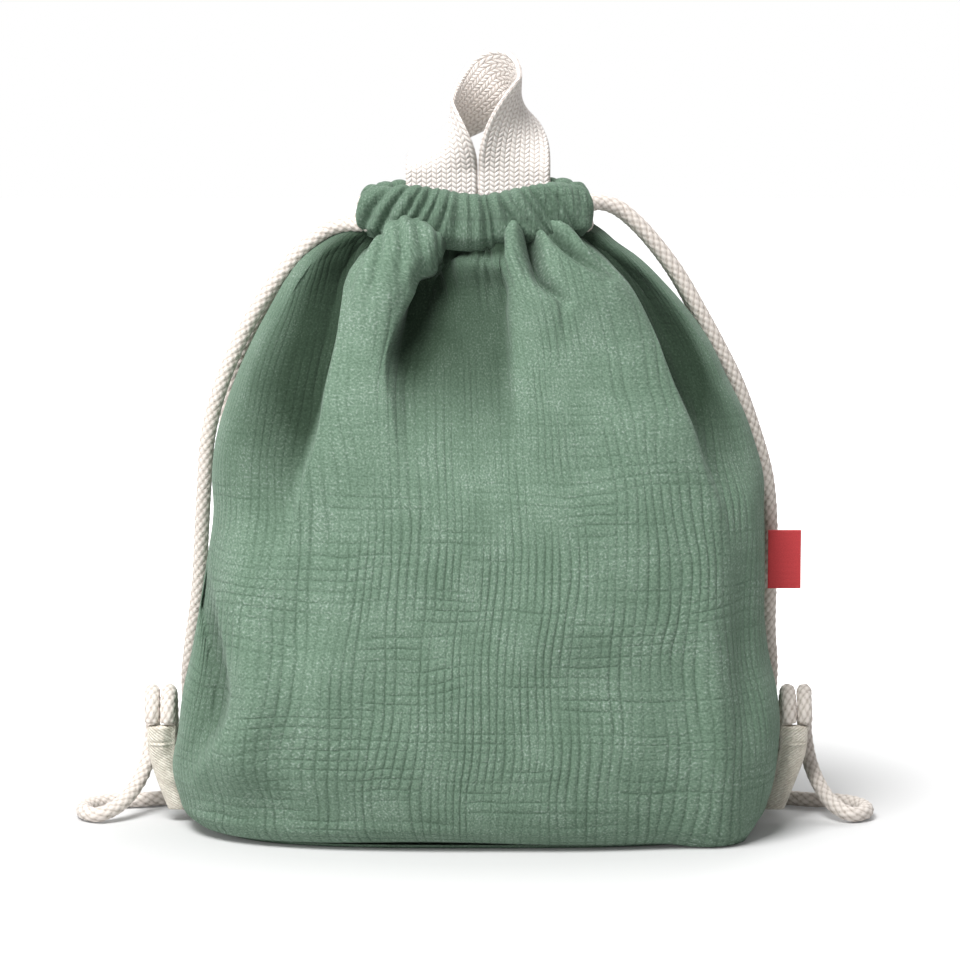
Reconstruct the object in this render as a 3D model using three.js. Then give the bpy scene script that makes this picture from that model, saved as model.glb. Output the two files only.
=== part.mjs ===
// Drawstring bento bag of gathered cotton gauze: two body panels on a flat base, a cord casing round the
// mouth, two drawcords that double as shoulder straps, twill tabs, a side label and a webbing carry loop.
// Millimetres, +Z up, -Y the front, origin on the floor at the middle of the base.
import * as THREE from "three";

// Clearance between sewn neighbours
const GAP = 0.3;

// Cloth body, widths along X and depths along Y, from the base up to the casing
const CLOTH = 2;
const BASE_THICKNESS = 2;
const BASE_WIDTH = 230;
const BASE_DEPTH = 110;
const BELLY_WIDTH = 246;
const BELLY_DEPTH = 128;
const BELLY_HEIGHT = 30;
const WAIST_WIDTH = 228;
const WAIST_DEPTH = 125;
const WAIST_HEIGHT = 90;
const CHEST_WIDTH = 222;
const CHEST_DEPTH = 112;
const CHEST_DROP = 98;
const SHOULDER_WIDTH = 186;
const SHOULDER_DEPTH = 88;
const SHOULDER_DROP = 43;
const NECK_WIDTH = 128;
const NECK_DEPTH = 60;
const NECK_DROP = 7;
const BODY_HEIGHT = 237.7;
const BODY_LEAN = 5;
const BASE_SQUARENESS = 3.2;
const MOUTH_SQUARENESS = 2.3;
const PANEL_ROWS = 18;
const BASE_CORNERS = 48;

// Cotton cord
const CORD_DIAMETER = 6;
const CORD_SIDES = 8;
const CORD_STEP = 15;

// Casing round the mouth, measured along the line that the cords follow
const MOUTH_WIDTH = 98;
const MOUTH_DEPTH = 40;
const CASING_WALL = 1.5;
const CASING_SIDE_GAP = 22;
const CORD_SIDE_ROOM = 0.5;
const CORD_END_ROOM = 2.5;
const CORD_SPACING = 8;
const CASING_CORNER = 6;
const CASING_STATIONS = 20;
const CASING_SECTION_POINTS = 12;
const SIDE_STATIONS = 6;
const CROSSING_BULGE = 0.3;

// Twill tabs that hold the cord ends in the side seams
const TAB_BOTTOM = 5;
const TAB_LENGTH = 35;
const TAB_BOTTOM_WIDTH = 8;
const TAB_TOP_WIDTH = 11.5;
const TAB_THICKNESS = 4.6;
const TAB_SEAM_THICKNESS = 1;
const TAB_HEM = 8;
const TAB_HEM_FOLD = 0.4;
const TAB_CLEARANCE = 0.8;
const TAB_FULL_FROM = 0.3;
const TAB_FULL_TO = 0.75;

// Woven label in the right side seam
const LABEL_WIDTH = 13.4;
const LABEL_HEIGHT = 24;
const LABEL_THICKNESS = 1;
const LABEL_BOTTOM = 96.6;
const LABEL_CLEARANCE = 0.6;

// Webbing carry loop sewn inside the back of the mouth, with the lengths between its turns
const WEBBING_WIDTH = 28;
const WEBBING_THICKNESS = 2;
const FOLD_THICKNESS = 0.8;
const STRAND_GAP = 1.2;
const LOOP_SHIFT = 1.2;
const SEWN_LENGTH = 16;
const FOLD_GAP = 0.4;
const LOOP_RISE_HEIGHT = 4;
const LEFT_STRAND_LENGTH = 22.6;
const LEFT_TURN_LENGTH = 24;
const RIGHT_TURN_LENGTH = 15.5;
const RIGHT_STRAND_LENGTH = 32.9;
const LOOP_STATIONS = 48;
const LOOP_COLUMNS = 4;

// Sizes that follow from those above
const CASING_THICKNESS = CORD_DIAMETER + 2 * (CASING_WALL + CORD_SIDE_ROOM);
const CASING_HEIGHT = CORD_SPACING + CORD_DIAMETER + 2 * (CASING_WALL + CORD_END_ROOM);
const CASING_BOTTOM = BODY_HEIGHT + GAP;
const CASING_TOP = CASING_BOTTOM + CASING_HEIGHT;
const CASING_MIDDLE = CASING_BOTTOM + CASING_HEIGHT / 2;
const LOWER_CORD = CASING_MIDDLE - CORD_SPACING / 2;
const UPPER_CORD = CASING_MIDDLE + CORD_SPACING / 2;
const RIM_WIDTH = MOUTH_WIDTH + CASING_THICKNESS;
const RIM_DEPTH = MOUTH_DEPTH + CASING_THICKNESS;
const PANEL_BOTTOM = BASE_THICKNESS + GAP;
const CASING_START = Math.asin((CASING_SIDE_GAP / MOUTH_DEPTH) ** (MOUTH_SQUARENESS / 2));
const TAB_TOP = TAB_BOTTOM + TAB_LENGTH;
const LABEL_TOP = LABEL_BOTTOM + LABEL_HEIGHT;
const FOLD_LINE = CASING_TOP + GAP;

// Main folds of the cloth: heights as shares of the body's height, places as shares of the half width from
// the middle, depths as shares of the half depth, and the panel's columns that lead up to each fold line
const FOLD_HEIGHTS = [0.42, 0.62, 0.76, 0.88, 0.96, 1];
const LEVEL = [0, 0, 0, 0, 0, 0];
const leftValley = {
  columns: 4,
  places: [-0.82, -0.74, -0.69, -0.73, -0.81, -0.85],
  depths: [0, 0.09, 0.36, 0.56, 0.45, 0],
};
const leftLobeStart = { columns: 1, places: [-0.75, -0.66, -0.6, -0.62, -0.69, -0.76], depths: LEVEL };
const leftLobeEnd = { columns: 3, places: [-0.36, -0.36, -0.38, -0.4, -0.38, -0.31], depths: LEVEL };
const hollow = {
  columns: 1,
  places: [-0.26, -0.27, -0.28, -0.25, -0.2, -0.17],
  depths: [0, 0.02, 0.22, 0.47, 0.42, 0],
};
const centre = {
  columns: 3,
  places: [0.14, 0.11, 0.09, 0.13, 0.18, 0.21],
  depths: [0, 0.02, 0.11, 0.23, 0.26, 0],
};
const rightLobeStart = { columns: 1, places: [0.21, 0.18, 0.17, 0.21, 0.28, 0.31], depths: LEVEL };
const rightLobeEnd = { columns: 5, places: [0.82, 0.79, 0.77, 0.8, 0.79, 0.79], depths: LEVEL };
const rightValley = {
  columns: 1,
  places: [0.88, 0.87, 0.86, 0.89, 0.89, 0.89],
  depths: [0, 0.09, 0.4, 0.45, 0.35, 0],
};
const frontFolds = [
  leftValley, leftLobeStart, leftLobeEnd, hollow, centre, rightLobeStart, rightLobeEnd, rightValley,
];

// Pleats of the back, each with a level line before the next one
const BACK_PLEATS = [-0.8, -0.5, -0.17, 0.15, 0.48, 0.79];
const PLEAT_DEPTHS = [0, 0.05, 0.14, 0.19, 0.2, 0];
const PLEAT_COLUMNS = 2;
const SEAM_COLUMNS = 4;
const backFolds = BACK_PLEATS.flatMap((place, index) => {
  const line = (at, depths) => ({ columns: PLEAT_COLUMNS, places: FOLD_HEIGHTS.map(() => at), depths });
  const level = index > 0 ? [line((BACK_PLEATS[index - 1] + place) / 2, LEVEL)] : [];
  return [...level, line(place, PLEAT_DEPTHS)];
});

// Left and right, front and back
const LEFT = -1;
const RIGHT = 1;
const FRONT = -1;
const BACK = 1;

// Materials
const gauze = new THREE.MeshStandardMaterial({ color: 0x6e9178, roughness: 0.95, metalness: 0 });
const cord = new THREE.MeshStandardMaterial({ color: 0xe1d7d0, roughness: 0.9, metalness: 0 });
const twill = new THREE.MeshStandardMaterial({ color: 0xd7cdbe, roughness: 0.9, metalness: 0 });
const webbing = new THREE.MeshStandardMaterial({ color: 0xe8ded8, roughness: 0.88, metalness: 0 });
const ribbon = new THREE.MeshStandardMaterial({ color: 0xbe3e42, roughness: 0.7, metalness: 0 });

// Profile of the body: half width, half depth and height, from the base seam to the casing seam
const profile = new THREE.CatmullRomCurve3(
  [
    new THREE.Vector3(BASE_WIDTH / 2, BASE_DEPTH / 2, PANEL_BOTTOM),
    new THREE.Vector3(BELLY_WIDTH / 2, BELLY_DEPTH / 2, BELLY_HEIGHT),
    new THREE.Vector3(WAIST_WIDTH / 2, WAIST_DEPTH / 2, WAIST_HEIGHT),
    new THREE.Vector3(CHEST_WIDTH / 2, CHEST_DEPTH / 2, BODY_HEIGHT - CHEST_DROP),
    new THREE.Vector3(SHOULDER_WIDTH / 2, SHOULDER_DEPTH / 2, BODY_HEIGHT - SHOULDER_DROP),
    new THREE.Vector3(NECK_WIDTH / 2, NECK_DEPTH / 2, BODY_HEIGHT - NECK_DROP),
    new THREE.Vector3(RIM_WIDTH / 2, RIM_DEPTH / 2, BODY_HEIGHT),
  ],
  false,
  "centripetal",
);

// Point of a rounded rectangle outline, from an ellipse at squareness 2 to squarer corners above it
function outlinePoint(halfWidth, halfDepth, squareness, angle) {
  const cosine = Math.cos(angle);
  const sine = Math.sin(angle);
  const power = 2 / squareness;
  return new THREE.Vector2(
    halfWidth * Math.sign(cosine) * Math.abs(cosine) ** power,
    halfDepth * Math.sign(sine) * Math.abs(sine) ** power,
  );
}

// Sideways lean of the standing bag, none at the base and the mouth
function leanAt(height) {
  const share = (height - PANEL_BOTTOM) / (BODY_HEIGHT - PANEL_BOTTOM);
  return BODY_LEAN * Math.sin(Math.PI * share) ** 2;
}

// Squareness of the body's outline, easing from the base corners to the round mouth
function squarenessAt(height) {
  const share = (height - PANEL_BOTTOM) / (BODY_HEIGHT - PANEL_BOTTOM);
  return BASE_SQUARENESS + (MOUTH_SQUARENESS - BASE_SQUARENESS) * share;
}

// Distance of the side seam from the middle plane at a height, on the left or the right
function seamAt(height, side) {
  let low = 0;
  let high = 1;
  for (let round = 0; round < 40; round += 1) {
    const middle = (low + high) / 2;
    if (profile.getPoint(middle).z < height) low = middle;
    else high = middle;
  }
  return profile.getPoint(low).x + side * leanAt(height);
}

// Closed geometry from shared points and triangles, turned so that its faces point out
function closedGeometry(points, triangles) {
  const normal = new THREE.Vector3();
  let volume = 0;
  for (const [a, b, c] of triangles) {
    volume += normal.crossVectors(points[a], points[b]).dot(points[c]);
  }
  const order = volume < 0 ? triangles.map(([a, b, c]) => [a, c, b]) : triangles;
  const geometry = new THREE.BufferGeometry().setFromPoints(points);
  geometry.setIndex(order.flat());
  geometry.computeVertexNormals();
  return geometry;
}

// Two triangles for one cell of a grid
function cell(a, b, c, d) {
  return [[a, b, c], [a, c, d]];
}

// Sheet with a thickness: an outer and an inner grid of points, closed along their four edges
function sheetGeometry(outer, inner) {
  const rows = outer.length;
  const columns = outer[0].length;
  const points = [...outer.flat(), ...inner.flat()];
  const front = (row, column) => row * columns + column;
  const rear = (row, column) => rows * columns + front(row, column);
  const triangles = [];
  for (let row = 0; row < rows - 1; row += 1) {
    for (let column = 0; column < columns - 1; column += 1) {
      const [right, up] = [column + 1, row + 1];
      triangles.push(...cell(front(row, column), front(row, right), front(up, right), front(up, column)));
      triangles.push(...cell(rear(row, column), rear(up, column), rear(up, right), rear(row, right)));
    }
    const [up, last] = [row + 1, columns - 1];
    triangles.push(...cell(front(row, 0), front(up, 0), rear(up, 0), rear(row, 0)));
    triangles.push(...cell(front(up, last), front(row, last), rear(row, last), rear(up, last)));
  }
  for (let column = 0; column < columns - 1; column += 1) {
    const [right, last] = [column + 1, rows - 1];
    triangles.push(...cell(front(0, right), front(0, column), rear(0, column), rear(0, right)));
    triangles.push(...cell(front(last, column), front(last, right), rear(last, right), rear(last, column)));
  }
  return closedGeometry(points, triangles);
}

// Walls between rings of points, each ring closed on itself
function ringWalls(rings, first, flip) {
  const count = rings[0].length;
  const triangles = [];
  for (let ring = 0; ring < rings.length - 1; ring += 1) {
    for (let side = 0; side < count; side += 1) {
      const next = (side + 1) % count;
      const here = first + ring * count;
      const there = here + count;
      const corners = [here + side, here + next, there + next, there + side];
      triangles.push(...cell(...(flip ? corners.reverse() : corners)));
    }
  }
  return triangles;
}

// Solid bar through convex rings of points, with flat ends
function barGeometry(rings) {
  const count = rings[0].length;
  const triangles = ringWalls(rings, 0, false);
  const last = (rings.length - 1) * count;
  for (let side = 1; side < count - 1; side += 1) {
    triangles.push([0, side + 1, side], [last, last + side, last + side + 1]);
  }
  return closedGeometry(rings.flat(), triangles);
}

// Open channel between outer and inner rings of points
function channelGeometry(outer, inner) {
  const count = outer[0].length;
  const inside = outer.length * count;
  const triangles = [...ringWalls(outer, 0, false), ...ringWalls(inner, inside, true)];
  const last = (outer.length - 1) * count;
  for (let side = 0; side < count; side += 1) {
    const next = (side + 1) % count;
    triangles.push(...cell(next, side, inside + side, inside + next));
    triangles.push(...cell(last + side, last + next, inside + last + next, inside + last + side));
  }
  return closedGeometry([...outer.flat(), ...inner.flat()], triangles);
}

// Place or depth of a fold line at a height, level below the lowest fold
function foldAt(values, height) {
  const share = THREE.MathUtils.clamp(height / BODY_HEIGHT, FOLD_HEIGHTS[0], 1);
  const next = Math.max(1, FOLD_HEIGHTS.findIndex((station) => station >= share));
  const part = (share - FOLD_HEIGHTS[next - 1]) / (FOLD_HEIGHTS[next] - FOLD_HEIGHTS[next - 1]);
  return THREE.MathUtils.lerp(values[next - 1], values[next], part);
}

// Columns of a panel at a height, from the left seam on: the turn round the outline and the fold's depth
function panelColumns(folds, height) {
  const turnTo = (place) => Math.acos(Math.sign(place) * Math.abs(place) ** (squarenessAt(height) / 2));
  const columns = [{ turn: Math.PI, depth: 0 }];
  const leadTo = (count, turn, depth) => {
    const from = columns.at(-1);
    for (let column = 1; column <= count; column += 1) {
      const share = column / count;
      columns.push({
        turn: THREE.MathUtils.lerp(from.turn, turn, share),
        depth: THREE.MathUtils.lerp(from.depth, depth, share),
      });
    }
  };
  for (const { columns: count, places, depths } of folds) {
    leadTo(count, turnTo(foldAt(places, height)), foldAt(depths, height));
  }
  leadTo(SEAM_COLUMNS, 0, 0);
  return columns;
}

// Body panel from side seam to side seam, as one half of the bag with its main folds
function bodyPanel(facing) {
  const folds = facing === FRONT ? frontFolds : backFolds;
  const row = (ring, inset) => panelColumns(folds, ring.z).map(({ turn, depth }) => {
    const point = outlinePoint(ring.x - inset, ring.y - inset, squarenessAt(ring.z), turn);
    const reach = Math.abs(point.y) - depth * ring.y + GAP / 2;
    return new THREE.Vector3(point.x + leanAt(ring.z), facing * reach, ring.z);
  });
  const rings = profile.getSpacedPoints(PANEL_ROWS);
  return sheetGeometry(rings.map((ring) => row(ring, 0)), rings.map((ring) => row(ring, CLOTH)));
}

// Flat base, cut to the outline that the body panels stand on
function basePanel() {
  const corners = Array.from({ length: BASE_CORNERS }, (_, corner) =>
    outlinePoint(BASE_WIDTH / 2, BASE_DEPTH / 2, BASE_SQUARENESS, (2 * Math.PI * corner) / BASE_CORNERS));
  return new THREE.ExtrudeGeometry(new THREE.Shape(corners), { depth: BASE_THICKNESS, bevelEnabled: false });
}

// Point and outward direction on the cord's line round the mouth
function mouthStation(angle) {
  const point = outlinePoint(MOUTH_WIDTH / 2, MOUTH_DEPTH / 2, MOUTH_SQUARENESS, angle);
  const slope = (value, half) => (Math.sign(value) * Math.abs(value / half) ** (MOUTH_SQUARENESS - 1)) / half;
  const outward = new THREE.Vector2(slope(point.x, MOUTH_WIDTH / 2), slope(point.y, MOUTH_DEPTH / 2));
  return { point, outward: outward.normalize() };
}

// Ring of points round the cord's line, in the plane that cuts it squarely
function mouthRing(angle, middle, section) {
  const { point, outward } = mouthStation(angle);
  return section.map(({ x, y }) =>
    new THREE.Vector3(point.x + outward.x * x, point.y + outward.y * x, middle + y));
}

// Angles of one casing, from its first open end to its last
function casingAngles(facing) {
  const first = facing === FRONT ? Math.PI + CASING_START : CASING_START;
  const sweep = Math.PI - 2 * CASING_START;
  return Array.from({ length: CASING_STATIONS + 1 }, (_, index) => first + (sweep * index) / CASING_STATIONS);
}

// Half of the casing: a hemmed channel that is open at both side ends
function casing(facing) {
  const section = (inset) => Array.from({ length: CASING_SECTION_POINTS }, (_, index) =>
    outlinePoint(CASING_THICKNESS / 2 - inset, CASING_HEIGHT / 2 - inset, CASING_CORNER,
      (2 * Math.PI * index) / CASING_SECTION_POINTS));
  const rings = (inset) =>
    casingAngles(facing).map((angle) => mouthRing(angle, CASING_MIDDLE, section(inset)));
  return channelGeometry(rings(0), rings(CASING_WALL));
}

// Corners of the cord's section
function cordSection() {
  return Array.from({ length: CORD_SIDES }, (_, index) => {
    const angle = (2 * Math.PI * (index + 0.5)) / CORD_SIDES;
    return new THREE.Vector2(Math.cos(angle), Math.sin(angle)).multiplyScalar(CORD_DIAMETER / 2);
  });
}

// Drawcord inside both casings: in at one side, nearly straight across the other side and back
function drawcord(side, height) {
  const front = casingAngles(FRONT);
  const back = casingAngles(BACK).map((angle) => angle + 2 * Math.PI);
  const across = Array.from({ length: SIDE_STATIONS - 1 }, (_, index) =>
    2 * Math.PI - CASING_START + (2 * CASING_START * (index + 1)) / SIDE_STATIONS);
  const casingEnd = mouthStation(CASING_START).point.x;
  const rings = [...front, ...across, ...back].map((angle) => {
    const bulge = Math.max(0, mouthStation(angle).point.x - casingEnd);
    const ring = mouthRing(angle, height, cordSection());
    return ring.map(({ x, y, z }) => new THREE.Vector3(-side * (x - bulge * (1 - CROSSING_BULGE)), y, z));
  });
  return barGeometry(rings);
}

// Free stretch of cord along a route of chosen points
function strand(route) {
  const path = new THREE.CatmullRomCurve3(route.map((point) => new THREE.Vector3(...point)));
  const steps = Math.round(path.getLength() / CORD_STEP);
  const shape = new THREE.Shape(cordSection());
  return new THREE.ExtrudeGeometry(shape, { steps, extrudePath: path, bevelEnabled: false });
}

// Tab folded round the cord ends, thin at the seam, with a folded hem at its top
function tab(side) {
  const section = (height, thickness) => {
    const share = (height - TAB_BOTTOM) / TAB_LENGTH;
    const width = TAB_BOTTOM_WIDTH + (TAB_TOP_WIDTH - TAB_BOTTOM_WIDTH) * share;
    const seam = seamAt(height, side) + TAB_CLEARANCE;
    const halves = [
      [0, TAB_SEAM_THICKNESS / 2],
      [width * TAB_FULL_FROM, thickness / 2],
      [width * TAB_FULL_TO, thickness / 2],
      [width, thickness / 4],
    ];
    const outline = [...halves, ...halves.map(([out, half]) => [out, -half]).reverse()];
    return outline.map(([out, half]) => new THREE.Vector3(side * (seam + out), half, height));
  };
  const hemmed = TAB_THICKNESS + 2 * TAB_HEM_FOLD;
  return barGeometry([
    section(TAB_BOTTOM, TAB_THICKNESS),
    section(TAB_BOTTOM + (TAB_LENGTH - TAB_HEM) / 2, TAB_THICKNESS),
    section(TAB_TOP - TAB_HEM, TAB_THICKNESS),
    section(TAB_TOP - TAB_HEM + TAB_HEM_FOLD, hemmed),
    section(TAB_TOP, hemmed),
  ]);
}

// Place of the label's sewn edge, clear of the seam along all its height
function labelSeam() {
  const seams = [LABEL_BOTTOM, (LABEL_BOTTOM + LABEL_TOP) / 2, LABEL_TOP].map((z) => seamAt(z, RIGHT));
  return Math.max(...seams) + LABEL_CLEARANCE;
}

// Folded ribbon label that stands out from the seam
function sideLabel() {
  return new THREE.BoxGeometry(LABEL_WIDTH, LABEL_THICKNESS, LABEL_HEIGHT)
    .translate(labelSeam() + LABEL_WIDTH / 2, 0, LABEL_BOTTOM + LABEL_HEIGHT / 2);
}

// Depth of the webbing where it lies against the inside of the back casing
function webbingDepth(x) {
  const halfWidth = (MOUTH_WIDTH - CASING_THICKNESS) / 2;
  const halfDepth = (MOUTH_DEPTH - CASING_THICKNESS) / 2;
  const share = 1 - Math.abs(x / halfWidth) ** MOUTH_SQUARENESS;
  return halfDepth * share ** (1 / MOUTH_SQUARENESS) - GAP - WEBBING_THICKNESS / 2;
}

// Middle of one strand of the loop on its fold line, with both strands in one plane
function strandFoot(side) {
  const reach = STRAND_GAP / 2 + WEBBING_WIDTH;
  const depth = Math.min(webbingDepth(LOOP_SHIFT - reach), webbingDepth(LOOP_SHIFT + reach));
  return new THREE.Vector3(LOOP_SHIFT + side * (reach - WEBBING_WIDTH / 2), depth, FOLD_LINE);
}

// End of the webbing, sewn flat inside the back casing
function sewnEnd(side) {
  const foot = strandFoot(side);
  return new THREE.BoxGeometry(WEBBING_WIDTH, WEBBING_THICKNESS, SEWN_LENGTH)
    .translate(foot.x, foot.y, foot.z - FOLD_GAP - SEWN_LENGTH / 2);
}

// Turns of the webbing: length since the last one, way along the webbing and way across it
const loopTurns = [
  { length: 0, along: [0, 0, 1], across: [-1, 0, 0] },
  { length: LOOP_RISE_HEIGHT, along: [0, 0, 1], across: [-1, 0, 0] },
  { length: LEFT_STRAND_LENGTH, along: [0.88, 0.65, 0.76], across: [0, 0.76, -0.65] },
  { length: LEFT_TURN_LENGTH, along: [1, -0.06, 1], across: [-0.1, 0.16, -0.97] },
  { length: RIGHT_TURN_LENGTH, along: [0, -0.42, -0.91], across: [0, 0.91, -0.42] },
  { length: RIGHT_STRAND_LENGTH, along: [0, 0, -1], across: [1, 0, 0] },
  { length: LOOP_RISE_HEIGHT, along: [0, 0, -1], across: [1, 0, 0] },
];

// Turn of the webbing's own axes: along it, across it and out of its outer face
function webbingTurn({ along, across }) {
  const way = new THREE.Vector3(...along).normalize();
  const out = way.clone().cross(new THREE.Vector3(...across)).normalize();
  const side = out.clone().cross(way);
  return new THREE.Quaternion().setFromRotationMatrix(new THREE.Matrix4().makeBasis(way, side, out));
}

// Turns at even steps along the loop, each between its two neighbouring named turns
function loopFrames() {
  const ends = loopTurns.map((_, index) =>
    loopTurns.slice(0, index + 1).reduce((sum, turn) => sum + turn.length, 0));
  const turns = loopTurns.map(webbingTurn);
  const total = ends.at(-1);
  const frames = Array.from({ length: LOOP_STATIONS + 1 }, (_, station) => {
    const length = (total * station) / LOOP_STATIONS;
    const next = Math.max(1, ends.findIndex((end) => end >= length - 1e-9));
    const share = (length - ends[next - 1]) / (ends[next] - ends[next - 1]);
    return new THREE.Quaternion().slerpQuaternions(turns[next - 1], turns[next], share);
  });
  return { frames, step: total / LOOP_STATIONS };
}

// Middle line of the loop: the steps along the webbing added up, closed evenly onto the second foot
function loopLine(frames, step) {
  const line = [strandFoot(LEFT).setZ(FOLD_LINE + GAP)];
  frames.slice(1).forEach((frame, index) => {
    const way = new THREE.Vector3(1, 0, 0).applyQuaternion(frames[index].clone().slerp(frame, 0.5));
    line.push(line[index].clone().addScaledVector(way, step));
  });
  const miss = strandFoot(RIGHT).setZ(FOLD_LINE + GAP).sub(line.at(-1));
  return line.map((point, index) => point.addScaledVector(miss, index / LOOP_STATIONS));
}

// Carry loop: the webbing rises from the rim, turns edge-on and closes in a band behind
function carryLoop() {
  const { frames, step } = loopFrames();
  const line = loopLine(frames, step);
  const face = (turn) => line.map((point, station) => {
    const sewn = station === 0 || station === LOOP_STATIONS;
    const half = (sewn ? FOLD_THICKNESS : WEBBING_THICKNESS) / 2;
    return Array.from({ length: LOOP_COLUMNS + 1 }, (_, column) => {
      const across = WEBBING_WIDTH * (column / LOOP_COLUMNS - 0.5);
      return new THREE.Vector3(0, across, turn * half).applyQuaternion(frames[station]).add(point);
    });
  });
  return sheetGeometry(face(1), face(-1));
}

// Route of the left strap's front strand, from the casing down the side and up again into the tab
const leftFrontRoute = [
  [-43.7, -10.5, 245], [-50, -7, 245], [-57, -5, 243.5], [-64.5, -3.5, 239], [-74, -1.5, 229.5],
  [-85.5, 1, 214], [-95, 3, 197], [-103, 5, 178], [-108.3, 8, 158], [-110.3, 11, 138], [-112, 16, 116],
  [-113.6, 21, 95], [-116.5, 26, 75], [-119, 31, 58], [-119.6, 39, 42], [-119.5, 43.5, 28],
  [-121, 38.5, 16.5], [-123.4, 29.5, 15], [-125.2, 23.5, 23], [-125.6, 22, 35], [-125.6, 18.5, 47.5],
  [-125.5, 11, 52], [-125.5, 3.4, 49.5], [-125.5, 0.3, 45], [-125.5, 0, 40.5],
];

// Route of the left strap's rear strand, behind the front one, then along the floor and over the tab
const leftRearRoute = [
  [-43.7, 10.5, 245], [-50, 7, 245], [-57, 5, 242.5], [-64.5, 6, 238], [-73.5, 8.5, 228.5],
  [-84.5, 11.5, 212.5], [-93.5, 14.5, 195.5], [-99.5, 19, 177], [-102, 26, 157], [-100.5, 35.5, 134],
  [-98.5, 46, 108], [-99.5, 55, 82], [-102.5, 60, 55], [-105, 59, 34], [-109, 54.5, 16],
  [-114, 46.5, 6.5], [-120, 37, 3.4], [-128, 29, 3.4], [-138, 25, 3.4], [-149, 23, 3.4],
  [-157.5, 17.5, 3.4], [-161, 9, 3.4], [-159.5, 1, 3.4], [-153.5, -3.5, 3.6], [-146, 0, 6.5],
  [-139.8, 8, 12.5], [-135.6, 16, 21], [-133.6, 21, 32], [-133, 18.5, 46.5], [-132.4, 11, 52],
  [-132, 3.4, 49.5], [-131.8, 0.3, 45], [-131.8, 0, 40.5],
];

// Route of the right strap's front strand, which stands off the shoulder
const rightFrontRoute = [
  [43.7, -10.5, 253], [50, -7, 253.5], [57, -5, 251.5], [64.5, -3.5, 245.5], [73, -1.5, 236],
  [81.5, 0.5, 224.5], [90, 2.5, 210], [98, 4.5, 195.5], [106, 7, 179.5], [113, 10, 160.5],
  [118.6, 13, 141], [120.8, 16, 120], [121, 20, 98], [121.3, 26, 76], [122.7, 31, 58], [122.6, 39, 42],
  [121.8, 43.5, 28], [123, 38.5, 16.5], [125.6, 29.5, 15], [127.6, 23.5, 23], [128.2, 22, 35],
  [128.2, 18.5, 47.5], [128.2, 11, 52], [128.2, 3.4, 49.5], [128.2, 0.3, 45], [128.2, 0, 40.5],
];

// Route of the right strap's rear strand, behind the front one
const rightRearRoute = [
  [43.7, 10.5, 253], [50, 7, 253], [57, 5, 250.5], [64.5, 6, 244.5], [73, 8, 235], [81.5, 10.5, 223],
  [89.5, 14, 208.5], [97, 18.5, 193.5], [102.5, 25, 176], [104.5, 33, 156], [104.5, 41, 134],
  [103.5, 49.5, 108], [104.5, 56.5, 82], [106, 60, 55], [106.5, 59, 34], [110.5, 54.5, 16],
  [115.5, 46.5, 6.5], [121.5, 37, 3.4], [129, 29, 3.4], [138, 25, 3.4], [148, 23, 3.4],
  [156.5, 18, 3.4], [160.5, 10, 3.4], [159.5, 1.5, 3.4], [153.5, -3, 3.6], [147, 0.5, 6.5],
  [142, 8, 12.5], [138.3, 16, 21], [136.4, 21, 32], [135.8, 18.5, 46.5], [135, 11, 52],
  [134.5, 3.4, 49.5], [134.5, 0.3, 45], [134.5, 0, 40.5],
];

// Named pieces of the bag
const pieces = [
  ["base_panel", basePanel(), gauze],
  ["front_panel", bodyPanel(FRONT), gauze],
  ["back_panel", bodyPanel(BACK), gauze],
  ["front_casing", casing(FRONT), gauze],
  ["back_casing", casing(BACK), gauze],
  ["left_drawcord", drawcord(LEFT, LOWER_CORD), cord],
  ["right_drawcord", drawcord(RIGHT, UPPER_CORD), cord],
  ["left_strap_front", strand(leftFrontRoute), cord],
  ["left_strap_rear", strand(leftRearRoute), cord],
  ["right_strap_front", strand(rightFrontRoute), cord],
  ["right_strap_rear", strand(rightRearRoute), cord],
  ["left_tab", tab(LEFT), twill],
  ["right_tab", tab(RIGHT), twill],
  ["side_label", sideLabel(), ribbon],
  ["carry_loop", carryLoop(), webbing],
  ["carry_loop_left_end", sewnEnd(LEFT), webbing],
  ["carry_loop_right_end", sewnEnd(RIGHT), webbing],
];

const bag = new THREE.Group();
for (const [name, geometry, material] of pieces) {
  const mesh = new THREE.Mesh(geometry, material);
  mesh.name = name;
  bag.add(mesh);
}

export default bag;
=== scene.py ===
"""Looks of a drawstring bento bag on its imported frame, in metres.

Crinkled gauze body, gathered casing, braided cords, twill tabs, woven label and webbing carry loop.
"""
import logging
from dataclasses import dataclass
from enum import Enum

import bmesh
import bpy
import numpy as np
from mathutils import Matrix, Vector


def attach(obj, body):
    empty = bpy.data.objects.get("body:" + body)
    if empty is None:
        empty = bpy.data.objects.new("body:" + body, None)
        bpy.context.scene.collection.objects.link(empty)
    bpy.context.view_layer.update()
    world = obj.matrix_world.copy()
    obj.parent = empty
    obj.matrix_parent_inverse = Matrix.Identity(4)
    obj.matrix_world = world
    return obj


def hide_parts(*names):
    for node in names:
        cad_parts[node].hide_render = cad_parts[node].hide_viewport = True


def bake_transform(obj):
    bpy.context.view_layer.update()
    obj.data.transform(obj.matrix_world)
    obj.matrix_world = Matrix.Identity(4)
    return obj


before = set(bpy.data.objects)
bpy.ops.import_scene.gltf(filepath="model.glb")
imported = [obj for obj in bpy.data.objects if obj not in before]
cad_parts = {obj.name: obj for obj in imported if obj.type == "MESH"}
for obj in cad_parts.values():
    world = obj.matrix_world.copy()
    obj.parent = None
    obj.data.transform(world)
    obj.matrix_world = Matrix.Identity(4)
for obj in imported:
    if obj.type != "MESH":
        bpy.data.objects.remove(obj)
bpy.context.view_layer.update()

Array = np.ndarray
Piece = bpy.types.Object
Material = bpy.types.Material
Socket = bpy.types.NodeSocket
Colour = tuple[int, int, int]
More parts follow.
